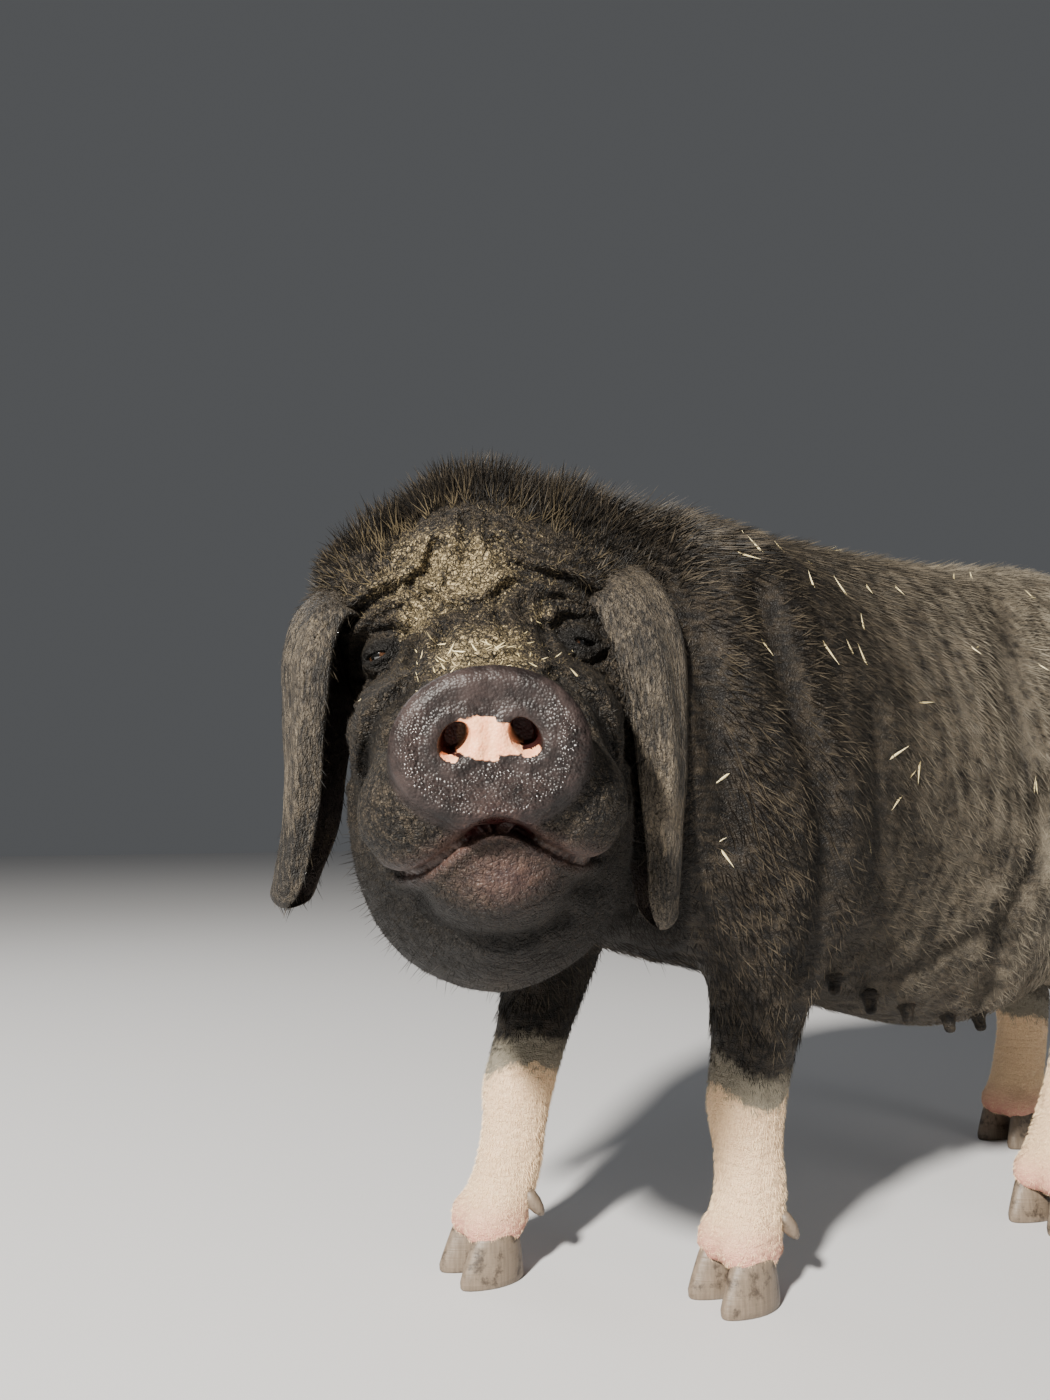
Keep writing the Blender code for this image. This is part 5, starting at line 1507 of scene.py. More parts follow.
    def carve(self, mesh: Mesh) -> None:
        """Sinks the openings of the face and smooths their walls a little."""
        points = read_points(mesh)
        local = self.head_local(points)
        near = (local[:, 1] < 0.03) & (np.abs(local[:, 0]) < 0.12)
        moved = self.form.carve(local[near])
        turn = np.array(self.form.head)
        points[near] = moved @ turn[:3, :3].T + turn[:3, 3] + self.placement.array
        write_points(mesh, points)
        share = np.zeros(len(points))
        share[near] = np.minimum(np.linalg.norm(moved - local[near], axis=1) / 0.002, 1.0)
        self.relax(mesh, lambda p: share * 0.5, 1)

    def on_slits(self, points: Array) -> Array:
        """Whether points lie by the slits between the lids."""
        local = self.head_local(points)
        near = np.zeros(len(points), bool)
        for side in Side:
            turned = self.form.eye_local(local, side)
            x, y, z = turned.T
            near |= (np.abs(x) < 0.0165) & (np.abs(z) < 0.009) & (np.abs(y + 0.014) < 0.012)
            nx, nz = self.form.nostril_plane(local, side)
            near |= (np.hypot(nx / 0.0105, nz / 0.0135) < 1.0) & (local[:, 1] < self.form.snout_y + 0.02)
        return near

    def keep_outer(self, mesh: Mesh) -> None:
        """Leaves only the largest connected surface."""
        with editing(mesh) as work:
            left = set(work.verts)
            shells = []
            while left:
                start = left.pop()
                shell, todo = {start}, [start]
                while todo:
                    found = {v for edge in todo.pop().link_edges for v in edge.verts} & left
                    left -= found
                    shell |= found
                    todo += found
                shells.append(shell)
            largest = max(shells, key=len)
            bmesh.ops.delete(work, geom=[v for v in work.verts if v not in largest], context="VERTS")

    def mark(self, mesh: Mesh, markings: Markings) -> None:
        """Stores the markings on a mesh, painted shade in the creases and painted sheen on the flank among
        them.
        """
        points = read_points(mesh) - self.placement.array
        local = into_frame(points, self.form.head)
        on_head = (local[:, 1] < 0.12) & (np.abs(local[:, 0]) < 0.15)
        store(mesh, "sock", markings.sock(points))
        for name in ("snout", "pink", "dust", "lip", "wet"):
            store(mesh, name, getattr(markings, name)(local) * on_head)
        store(mesh, "face", on_head * smooth_step((0.09 - local[:, 1]) / 0.05))
        store(mesh, "toe", markings.toe(points))
        # Painted shade: darker in the folds of the face, the groove between the lips, round the eyes and
        # under the jaw, and on the body in the bottom of its creases.
        throat = smooth_step((-0.120 - local[:, 2]) / 0.05) * smooth_step((local[:, 1] + 0.205) / 0.03)
        lines = np.clip(self.form.fold_depth(local) / 0.0060, 0, 1) * 0.75
        for shade in (markings.mouth_line(local), markings.socket(local), 0.85 * throat):
            lines = np.maximum(lines, shade)
        store(mesh, "crease", np.where(on_head, lines, self.form.crease_share(points)))
        plain = self.form.section(self.form.skull, *local.T, self.form.skull_low)
        outside = np.minimum(self.form.disc(local), plain)
        store(mesh, "cavity", markings.cavity(local, outside) * on_head)
        y, z = points[:, 1], points[:, 2]
        # Painted sheen on ribs and haunch, none on the head.
        store(mesh, "flank", np.where(on_head, 0.0, markings.flank(points)))
        # Mid-height flank behind the shoulder: wear with painted sheen.
        store(mesh, "rubbed", smooth_step((0.42 - np.abs(z - 0.42)) / 0.2) * smooth_step((y - 0.02) / 0.25))


@dataclass
class CoatBuilder:
    """Bristle tufts over the skin, laid along the coat by one Geometry Nodes tree."""

    form: SowForm
    placement: Placement
    markings: Markings
    seed: int = 7
    width_growth: float = 0.6
    sparse: float = 0.02
    root_sink: float = 0.0009
    patch_size: float = 0.0028
    quick_share: float = 0.35

    def blade(
        self, name: str, length: float, width: float, thickness: float, rise: float, hairs: int
    ) -> Object:
        """One tuft of tapered bristles that lies along +Y with its root below z = 0.

        Args:
            name: The object's name.
            length: Length of the longest bristle.
            width: Width at the root.
            thickness: Thickness at the root.
            rise: How high the tip stands.
            hairs: How many bristles fan out.

        Returns:
            A hidden object that the tree repeats.
        """
        points, faces, along, patch = [], [], [], []
        draw = np.random.default_rng(self.seed + hairs)
        for hair in range(hairs):
            fan = 0.0 if hairs == 1 else (hair / (hairs - 1) - 0.5) * 0.7 + draw.uniform(-0.1, 0.1)
            reach = length * (1.0 if hairs == 1 else draw.uniform(0.75, 1.0))
            start = len(points)
            for share, taper in ((0.0, 1.0), (0.5, 0.72)):
                y = reach * share
                z = rise * share**1.2 - self.root_sink * (1 - share)
                x = fan * y + (hair - (hairs - 1) / 2) * width * 0.5
                half, top = width / 2 * taper, thickness * taper
                points += [(x - half, y, z), (x + half, y, z), (x, y, z + top)]
                along += [share] * 3
                patch += [(x * 0.05, y * 0.05)] * 3
            points.append((fan * reach * 1.05, reach, rise))
            along.append(1.0)
            patch.append((fan * 0.001, 0.0015))
            faces += bristle_faces(start)
        mesh = bpy.data.meshes.new(name)
        mesh.from_pydata(points, [], faces)
        with editing(mesh) as work:
            bmesh.ops.recalc_face_normals(work, faces=work.faces)
        store(mesh, "hair_along", np.array(along))
        spots = np.array(patch)
        spots = np.clip(spots * (self.patch_size / (length * 0.05)), -0.0015, self.patch_size)
        store(mesh, "patch", np.column_stack([spots, np.zeros(len(spots))]))
        made = place_object(name, mesh)
        made.hide_render = True
        return made

    def tree(self) -> bpy.types.NodeTree:
        """The tree that sets tufts on a surface, with named inputs for its sizes."""
        tree = bpy.data.node_groups.new("lay_bristles", "GeometryNodeTree")
        for name, kind in (
            ("Surface", "Geometry"),
            ("Tuft", "Object"),
            ("Tufts per square metre", "Float"),
            ("Length spread", "Float"),
            ("Stray turn", "Float"),
            ("Raised by", "Float"),
            ("Seed", "Int"),
            ("Finish", "Material"),
        ):
            tree.interface.new_socket(name, in_out="INPUT", socket_type=f"NodeSocket{kind}")
        tree.interface.new_socket("Coat", in_out="OUTPUT", socket_type="NodeSocketGeometry")
        given = add_node(tree, "NodeGroupInput", {}).outputs
        end = add_node(tree, "NodeGroupOutput", {})

        def add(kind: str, inputs: Dict, output: object = 0, **settings: object) -> Socket:
            """Adds a node and gives one of its outputs."""
            return add_node(tree, kind, inputs, **settings).outputs[output]

        def named(name: str, kind: str = "FLOAT") -> Socket:
            """Reads a stored number or vector."""
            return add("GeometryNodeInputNamedAttribute", {"Name": name}, "Attribute", data_type=kind)

        def math_of(operation: str, a: object, b: object) -> Socket:
            """One sum on two numbers."""
            return add("ShaderNodeMath", {0: a, 1: b}, operation=operation)

        def random(low: object, high: object, offset: int) -> Socket:
            """A random number for each tuft."""
            seed = math_of("ADD", given["Seed"], offset)
            return add("FunctionNodeRandomValue", {2: low, 3: high, "Seed": seed}, 1, data_type="FLOAT")

        def stored(kind: str, domain: str, name: str, onto: Socket, value: Socket) -> Socket:
            """Stores a value under a name on a geometry."""
            inputs = {"Name": name, "Geometry": onto, "Value": value}
            return add("GeometryNodeStoreNamedAttribute", inputs, "Geometry", data_type=kind, domain=domain)

        density = math_of("MULTIPLY", given["Tufts per square metre"], named("hair_density"))
        scatter = add_node(
            tree,
            "GeometryNodeDistributePointsOnFaces",
            {"Mesh": given["Surface"], "Density": density, "Seed": given["Seed"]},
            distribute_method="RANDOM",
        ).outputs
        upright = add("FunctionNodeAlignRotationToVector", {"Vector": scatter["Normal"]}, axis="Z")
        forward = add(
            "FunctionNodeAlignRotationToVector",
            {"Rotation": upright, "Vector": named("lie", "FLOAT_VECTOR")},
            axis="Y",
            pivot_axis="Z",
        )
        turn = random(math_of("MULTIPLY", given["Stray turn"], -1.0), given["Stray turn"], 1)
        raised = math_of("MULTIPLY", named("hair_lift"), random(0.6, 1.25, 2))
        raised = math_of("MULTIPLY", raised, given["Raised by"])
        rotation = forward
        for axis, angle in (((0, 0, 1), turn), ((1, 0, 0), raised)):
            step = add("FunctionNodeAxisAngleToRotation", {"Axis": axis, "Angle": angle})
            inputs = {"Rotation": rotation, "Rotate By": step}
            rotation = add("FunctionNodeRotateRotation", inputs, rotation_space="LOCAL")

        spread = [math_of(operation, 1.0, given["Length spread"]) for operation in ("SUBTRACT", "ADD")]
        size = math_of("MULTIPLY", named("hair_scale"), random(*spread, 3))
        narrow = math_of("POWER", size, self.width_growth)
        scale = add("ShaderNodeCombineXYZ", {"X": narrow, "Y": size, "Z": narrow})
        points = stored("FLOAT", "POINT", "hair_shade", scatter["Points"], random(0.0, 1.0, 4))
        tuft = add("GeometryNodeObjectInfo", {"Object": given["Tuft"]}, "Geometry")
        inputs = {"Points": points, "Instance": tuft, "Rotation": rotation, "Scale": scale}
        tufts = add("GeometryNodeInstanceOnPoints", inputs)
        real = add("GeometryNodeRealizeInstances", {"Geometry": tufts})
        spots = {0: named("root_place", "FLOAT_VECTOR"), 1: named("patch", "FLOAT_VECTOR")}
        spot = add("ShaderNodeVectorMath", spots, operation="ADD")
        unwrapped = stored("FLOAT2", "CORNER", "OFBake", real, spot)
        painted = add("GeometryNodeSetMaterial", {"Geometry": unwrapped, "Material": given["Finish"]})
        feed(tree, end.inputs["Coat"], painted)
        return tree

    def prepare(self, skin: Object) -> Object:
        """A plain copy of the skin that carries the lie, length and lift of the coat, and the unwrap."""
        mesh = skin.data.copy()
        mesh.name = "coat_bed"
        bed = place_object("coat_bed", mesh)
        self._unwrap(bed)
        points = read_points(mesh) - self.placement.array
        local = into_frame(points, self.form.head)
        normals = np.empty(len(mesh.vertices) * 3, np.float32)
        mesh.vertices.foreach_get("normal", normals)
        normals = normals.reshape(-1, 3)
        flow = self.markings.lie(points, local)
        flow -= normals * np.sum(flow * normals, 1)[:, None]
        flow /= np.maximum(np.linalg.norm(flow, axis=1), 1e-6)[:, None]
        store(mesh, "lie", flow)
        z = points[:, 2]
        lx, ly, lz = local.T
        on_head = smooth_step((0.13 - ly) / 0.05) * (np.abs(lx) < 0.17)
        face = smooth_step((0.06 - ly) / 0.07) * on_head
        bare = np.max([mesh_numbers(mesh, name) for name in ("snout", "lip", "cavity")], axis=0)
        eyes = np.zeros(len(points))
        for side in Side:
            eye = mirrored((self.form.eye_centre[0], -0.010, 0.0), side)
            away = np.linalg.norm(local - eye, axis=1)
            eyes = np.maximum(eyes, smooth_step((0.024 - away) / 0.006))
        muzzle = smooth_step((-0.12 - ly) / 0.05) * on_head
        topline = self.topline(points, local)
        legs = smooth_step((0.24 - z) / 0.06)
        feet = smooth_step((0.075 - z) / 0.02)
        belly = smooth_step((-normals[:, 2] - 0.5) / 0.4) * (z > 0.15)
        scale = 1.0 - 0.55 * face - 0.15 * muzzle - 0.35 * legs - 0.25 * feet
        scale += 0.10 * topline
        under = smooth_step((-0.11 - lz) / 0.04) * on_head
        density = 1.0 - 0.62 * face - 0.20 * muzzle + 0.55 * under + 0.5 * legs - 0.55 * belly
        temple = on_head * smooth_step((lz - 0.02) / 0.04) * smooth_step((np.abs(lx) - 0.045) / 0.03)
        density += 0.6 * temple
        scale += 0.55 * temple
        density *= (1.0 - np.clip(bare * 1.6, 0, 1)) * (1.0 - eyes)
        density *= 1.0 - smooth_step((0.036 - z) / 0.01)
        store(mesh, "hair_scale", np.clip(scale, 0.25, 2.0))
        store(mesh, "hair_density", np.clip(density, 0.0, 3.0))
        poll = self.poll(local)
        lift = 0.07 + 0.10 * legs + 0.18 * topline + 0.08 * face + 0.75 * poll + 0.35 * temple
        store(mesh, "hair_lift", lift)
        return bed

    @staticmethod
    def poll(local: Array) -> Array:
        """How much a point belongs to the top of the head."""
        lx, ly, lz = local.T
        top = smooth_step((lz - 0.062) / 0.048) * np.exp(-((lx / 0.088) ** 4))
        return top * smooth_step((ly + 0.01) / 0.04) * smooth_step((0.20 - ly) / 0.08)

    def topline(self, points: Array, local: Array) -> Array:
        """How much a point belongs to the crest, from the poll over the neck to the rump."""
        x, y, z = points.T
        on_back = hill((x - self.form.spine_x(y)) / 0.050) * smooth_step((z - 0.60) / 0.03) * (y > -0.28)
        nape = smooth_step((z - 0.600) / 0.04) * (y <= -0.20)
        return np.clip(np.maximum(np.maximum(on_back * 0.8, self.poll(local)), nape * 0.8), 0, 1)

    @staticmethod
    def _unwrap(bed: Object) -> None:
        """Unwraps the bed by its own shape and stores each point's place on the unwrap."""
        bpy.context.view_layer.objects.active = bed
        for thing in bpy.context.selected_objects:
            thing.select_set(False)
        bed.select_set(True)
        mesh = bed.data
        bpy.ops.object.mode_set(mode="EDIT")
        bpy.ops.mesh.select_all(action="SELECT")
        bpy.ops.uv.smart_project(angle_limit=math.radians(66), island_margin=0.004)
        bpy.ops.object.mode_set(mode="OBJECT")
        layer = mesh.uv_layers.active
        spots = np.empty(len(mesh.loops) * 2, np.float32)
        layer.data.foreach_get("uv", spots)
        spots = spots.reshape(-1, 2)
        mesh.uv_layers.remove(layer)
        place = mesh.attributes.new("root_place", "FLOAT_VECTOR", "CORNER")
        flat = np.column_stack([spots, np.zeros(len(spots))])
        place.data.foreach_set("vector", flat.astype(np.float32).ravel())

    def grow(
        self,
        bed: Object,
        name: str,
        keep: Array,
        tuft: Object,
        per_area: float,
        finish: Material,
        spread: float = 0.3,
        stray: float = 0.3,
        seed: int = 1,
        raised: float = 1.0,
    ) -> Object:
        """Grows one piece of coat on part of the bed.

        Args:
            bed: The prepared copy of the skin.
            name: The piece's name.
            keep: How densely it grows on each vertex of the bed, from 0 to 1.
            tuft: The tuft to repeat.
            per_area: Tufts per square metre.
            finish: The bristles' material.
            spread: How much lengths vary.
            stray: How far tufts turn from the lie, in radians.
            seed: The draw of this piece.
            raised: How many times the bed's own lift it stands up.

        Returns:
            The finished piece.
        """
        mesh = bed.data.copy()
        share = np.asarray(keep, float)
        for attribute, low in (("hair_density", 0.0), ("hair_scale", 0.55)):
            values = mesh_numbers(mesh, attribute) * (low + (1.0 - low) * share)
            mesh.attributes[attribute].data.foreach_set("value", values.astype(np.float32))
        with editing(mesh) as work:
            drop = [
                face for face in work.faces if not all(share[v.index] > self.sparse for v in face.verts)
            ]
            bmesh.ops.delete(work, geom=drop, context="FACES")
        piece = place_object(name, mesh)
        lay = piece.modifiers.new("lay", "NODES")
        lay.node_group = self.group
        values = {
            "Tuft": tuft,
            "Tufts per square metre": per_area,
            "Length spread": spread,
            "Stray turn": stray,
            "Raised by": raised,
            "Seed": self.seed * 100 + seed,
            "Finish": finish,
        }
        for item in self.group.interface.items_tree:
            if item.in_out == "INPUT" and item.name in values:
                lay[item.identifier] = values[item.name]
        bake(piece)
        if not piece.data.materials:
            piece.data.materials.append(finish)
        return piece

    def build(self, skin: Object, finish: Material) -> List[Object]:
        """Builds every piece of the coat."""
        self.group = self.tree()
        bed = self.prepare(skin)
        points = read_points(bed.data) - self.placement.array
        local = into_frame(points, self.form.head)
        x, y, z = points.T
        lx, ly, lz = local.T
        head = (ly < 0.085) & (np.abs(lx) < 0.15)
        topline = self.topline(points, local)
        legs = (z < 0.25) & ~head & ((z < 0.20) | (self.markings.sock(points) > 0))
        body = ~head & ~legs
        thin = 1.0
        coat = self.blade("tuft_coat", 0.0175, 0.0010, 0.0004, 0.0014, 2)
        short = self.blade("tuft_short", 0.0095, 0.0008, 0.00035, 0.0012, 2)
        crest = self.blade("tuft_crest", 0.032, 0.0010, 0.0005, 0.0040, 3)
        long = self.blade("tuft_beard", 0.026, 0.0006, 0.0004, 0.0060, 1)
        straw = self.blade("tuft_straw", 0.0170, 0.0022, 0.0009, 0.0020, 1)
        dry = StrawFinish().build()
        beard = smooth_step((-0.115 - lz) / 0.03) * (ly < 0.10) * (ly > -0.19) * (np.abs(lx) < 0.14)
        beard *= 1.0 - mesh_numbers(bed.data, "lip")
        bridge = (
            mesh_numbers(bed.data, "dust") * smooth_step((0.045 - lz) / 0.05) * (ly < 0.0) * (lz > -0.05)
        )
        bridge *= 0.25 + 0.75 * smooth_step((0.004 - lz) / 0.02)
        back = body & (z > 0.36) & (x > -0.05)
        jobs = (
            ("coat_head", head, short, 60000.0, 0.35, 0.30, 1),
            ("coat_neck", body & (y < -0.20), coat, 36000.0, 0.35, 0.20, 2),
            ("coat_flank_left", body & (y >= -0.20) & (x > 0.02), coat, 25500.0, 0.35, 0.18, 3),
            ("coat_flank_right", body & (y >= -0.20) & (x <= 0.02), coat, 22000.0, 0.35, 0.18, 4),
            ("coat_legs_fore", legs & (y < 0.0), short, 52000.0, 0.3, 0.25, 5),
            ("coat_legs_hind", legs & (y >= 0.0), short, 52000.0, 0.3, 0.25, 12),
            ("coat_poll", self.poll(local), crest, 60000.0, 0.3, 0.5, 6),
            (
                "coat_crest",
                topline * (topline > 0.1) * (self.poll(local) <= 0.5),
                crest,
                27000.0, 0.3, 0.35, 7,
            ),
            ("coat_beard", beard, long, 7000.0, 0.4, 0.8, 8, 5.0),
            ("straw_bridge", bridge, straw, 13000.0, 0.55, 1.5, 9),
            ("straw_back", back, straw, 200.0, 0.5, 2.6, 10),
        )
        made = []
        for name, keep, tuft, per_area, *draws in jobs:
            paint = dry if tuft is straw else finish
            made.append(self.grow(bed, name, keep, tuft, per_area * thin, paint, *draws))
            log.info("%s: %d triangles", name, count_triangles(made[-1]))
        for thing in (bed, coat, short, crest, long, straw):
            bpy.data.objects.remove(thing)
        return made

    def fringe(self, ear: Object, finish: Material) -> Object:
        """Grows the fine hair of one ear, longest along its edge."""
        mesh = ear.data.copy()
        bed = place_object("ear_bed", mesh)
        self._unwrap(bed)
        edge = mesh_numbers(mesh, "edge")
        root = mesh_numbers(mesh, "face")
        store(mesh, "hair_scale", 0.55 + 0.45 * edge + 1.0 * root)
        hollow = mesh_numbers(mesh, "inner") * (1.0 - edge)
        store(mesh, "hair_density", (0.35 + 1.3 * edge + 3.0 * root) * (1.0 - 0.7 * hollow))
        store(mesh, "hair_lift", 0.16 + 0.34 * edge)
        tuft = self.blade("tuft_ear", 0.0105, 0.0006, 0.0003, 0.0014, 1)
        every = np.ones(len(mesh.vertices), bool)
        piece = self.grow(
            bed, ear.name.replace("sow_", "coat_"), every, tuft, 26000.0, finish, 0.35, 0.45, 11
        )
        for thing in (bed, tuft):
            bpy.data.objects.remove(thing)
        return piece


@dataclass
class EarPair:
    """The two hanging ears: cupped leaves whose hollow faces the cheek."""

    form: SowForm
    placement: Placement
    places: Dict[Side, Tuple[Triple, ...]] = field(
        default_factory=lambda: {
            Side.LEFT: (
                (0.044, 0.066, 0.060),
                (0.100, 0.056, 0.077),
                (0.138, 0.034, 0.050),
                (0.152, 0.018, 0.008),
                (0.154, 0.006, -0.042),
                (0.149, -0.002, -0.094),
                (0.140, -0.006, -0.146),
                (0.134, -0.008, -0.186),
                (0.130, -0.008, -0.214),
            ),
            Side.RIGHT: (
                (-0.044, 0.066, 0.054),
                (-0.100, 0.054, 0.068),
                (-0.134, 0.036, 0.044),
                (-0.146, 0.022, 0.008),
                (-0.149, 0.012, -0.034),
                (-0.150, 0.006, -0.078),
                (-0.154, 0.002, -0.122),
                (-0.161, 0.000, -0.154),
                (-0.166, -0.002, -0.174),
            ),
        }
    )
    cups: Dict[Side, Tuple[Pair, ...]] = field(
        default_factory=lambda: {
            Side.LEFT: (
                (0.014, 0.018),
                (0.026, 0.029),
                (0.039, 0.045),
                (0.041, 0.050),
                (0.037, 0.047),
                (0.031, 0.038),
                (0.023, 0.028),
                (0.018, 0.020),
                (0.013, 0.015),
            ),
            Side.RIGHT: (
                (0.014, 0.020),
                (0.024, 0.031),
                (0.029, 0.046),
                (0.028, 0.048),
                (0.026, 0.044),
                (0.023, 0.036),
                (0.020, 0.028),
                (0.017, 0.020),
                (0.013, 0.015),
            ),
        }
    )
    front_turn: float = -118.0
    rear_turn: float = 142.0
    thickness: Pair = (0.0078, 0.0038)
    rows: int = 72
    columns: int = 44

    def _curve(self, points: Sequence[Triple], share: float) -> Tuple[Vector, Vector]:
        """A place and direction on the smooth curve through points."""
        knots = np.linspace(0.0, 1.0, len(points))
        table = np.column_stack([knots, np.array(points)])
        here, ahead, behind = along_stations(
            table, np.array([share, min(share + 0.01, 1.0), max(share - 0.01, 0.0)])
        )
        return Vector(here), (Vector(ahead) - Vector(behind)).normalized()

    def mesh(self, side: Side) -> Mesh:
        """One ear with soft lengthwise folds and a wavy edge."""
        shares = np.sin(np.linspace(0, math.pi / 2, self.rows))
        radii = np.array(self.cups[side])
        cup = along_stations(np.column_stack([np.linspace(0, 1, len(radii)), radii]), shares)
        rings, inner_flags, edges, lies, roots = [], [], [], [], []
        for share, (out_radius, along_radius) in zip(shares, cup):
            centre, heading = self._curve(self.places[side], float(share))
            rounding = math.sqrt(max(0.01, 1.0 - (max(0.0, float(share) - 0.93) / 0.07) ** 2))
            middle = out_radius
            out_radius, along_radius = out_radius * rounding, along_radius * rounding
            down = self.form.head.to_3x3() @ heading
            back = Vector((0.0, 1.0, 0.0))
            outward = heading.cross(back).normalized() * side.value
            back = (back - heading * back.dot(heading)).normalized()
            thick = self.thickness[0] + (self.thickness[1] - self.thickness[0]) * float(share)
            thick = min(thick, float(out_radius) * 0.7)
            outer, inner = [], []
            for k in range(self.columns):
                across = k / (self.columns - 1)
                turn = math.radians(self.front_turn + (self.rear_turn - self.front_turn) * across)
                edge = 1.0 - 0.72 * abs(2.0 * across - 1.0) ** 5
                ripple = (
                    0.0026
                    * math.sin(across * 15.0 + 1.6 * math.sin(share * 6.0))
                    * math.sin(math.pi * share)
                )
                ripple += 0.0012 * math.sin(across * 37.0 + 2.5 * share) * math.sin(math.pi * share)
                ripple += 0.0012 * math.sin(share * 30.0 + across * 5.0) * abs(2 * across - 1)
                ripple *= rounding
                for reach, line in ((0.0, outer), (thick * edge, inner)):
                    x = (out_radius - reach + ripple) * math.cos(turn)
                    y = (along_radius - reach + ripple) * math.sin(turn)
                    place = centre + outward * (x - middle) + back * y
                    line.append(self.form.head @ place + self.placement.shift)
            rings.append(outer + inner[::-1])
            inner_flags += [0.0] * self.columns + [1.0] * self.columns
            roots += [float(smooth_step(np.array((0.34 - share) / 0.24)))] * (2 * self.columns)
            border = [abs(2.0 * k / (self.columns - 1) - 1.0) ** 6 for k in range(self.columns)]
            border = [max(share_out, 1.0 - rounding) for share_out in border]
            edges += border + border[::-1]
            lies += [tuple(down)] * (2 * self.columns)
        made = loft(f"sow_ear_{side.name.lower()}", rings)
        store(made, "inner", np.array(inner_flags + [0.0, 0.0]))
        store(made, "edge", np.array(edges + [0.0, 1.0]))
        store(made, "face", np.array(roots + [1.0, 0.0]))
        store(made, "lie", np.array(lies + [lies[0], lies[-1]]))
        return made

    def build(self, finish: Material, coat: CoatBuilder, bristle: Material) -> None:
        """Builds both ears with their fine hair."""
        for side in Side:
            ear = place_object(f"sow_ear_{side.name.lower()}", self.mesh(side))
            ear.data.materials.append(finish)
            fuzz = coat.fringe(ear, bristle)
            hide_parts(f"ear_{side.name.lower()}")
            for piece, slot in ((ear, "ear_grey"), (fuzz, "coat_black")):
                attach(piece, "root")


@dataclass
class TeatRows:
    """The two rows of teats along the belly."""

    form: SowForm
    placement: Placement
    across: float = 0.074
    first: float = -0.105
    pitch: float = 0.050
    pairs: int = 7
    lowest: float = 0.14
    sides: int = 16
    profile: Tuple = (
        (-0.008, 0.0120),
        (-0.001, 0.0095),
        (0.003, 0.0068),
        (0.008, 0.0056),
        (0.012, 0.0053),
        (0.0145, 0.0038),
        (0.0155, 0.0016),
    )

    def build(self, skin: Object, finish: Material) -> None:
        """Sets each teat square on the skin, but none on a leg, where the skin lies lower."""
        tree = BVHTree.FromPolygons(
            [v.co for v in skin.data.vertices], [p.vertices for p in skin.data.polygons]
        )
        work = bmesh.new()
        for pair in range(self.pairs):
            for side in Side:
                y = self.first + self.pitch * pair + 0.004 * math.sin(pair * 2.3 + side.value)
                x = self.across * side.value + float(self.form.spine_x(np.array(y)))
                start = Vector((x, y, 0.05)) + self.placement.shift
                place, normal, _, _ = tree.ray_cast(start, Vector((0, 0, 1)))
                if place is None or place.z < self.lowest:
                    continue
                heading = (normal + Vector((0.0, 0.0, -0.9))).normalized()
                aside = heading.orthogonal().normalized()
                other = heading.cross(aside)
                turns = np.linspace(0, FULL_TURN, self.sides, endpoint=False)
                round_teat = [aside * math.cos(a) + other * math.sin(a) for a in turns]
                rings = [
                    [place + heading * reach + out * radius for out in round_teat]
                    for reach, radius in self.profile
                ]
                work.from_mesh(loft("teat", rings))
        mesh = bpy.data.meshes.new("sow_teats")
        work.to_mesh(mesh)
        work.free()
        mesh.shade_smooth()
        mesh.materials.append(finish)
        teats = place_object("sow_teats", mesh)
        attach(teats, "root")


@dataclass
class EyePair:
    """Both eyeballs, with a raised clear front."""

    form: SowForm
    placement: Placement

    def build(self, finish: Material) -> None:
        """Builds each eyeball and marks how far each point lies from its pupil."""
        for side in Side:
            work = bmesh.new()
            bmesh.ops.create_uvsphere(work, u_segments=40, v_segments=28, radius=self.form.eye_radius)
            away = []
            for vert in work.verts:
                forward = -vert.co.y / self.form.eye_radius
                away.append(math.acos(max(-1.0, min(1.0, forward))))
                vert.co.y -= 0.0009 * float(smooth_step(np.array((forward - 0.80) / 0.2)))
            mesh = bpy.data.meshes.new(f"sow_eye_{side.name.lower()}")
            work.to_mesh(mesh)
            work.free()
            store(mesh, "from_pupil", np.array(away))
            mesh.transform(self.placement.matrix() @ self.form.eye_frame(side))
            mesh.shade_smooth()
            eye = place_object(f"sow_eye_{side.name.lower()}", mesh)
            eye.data.materials.append(finish)
            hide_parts(f"eye_{side.name.lower()}")
            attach(eye, "root")


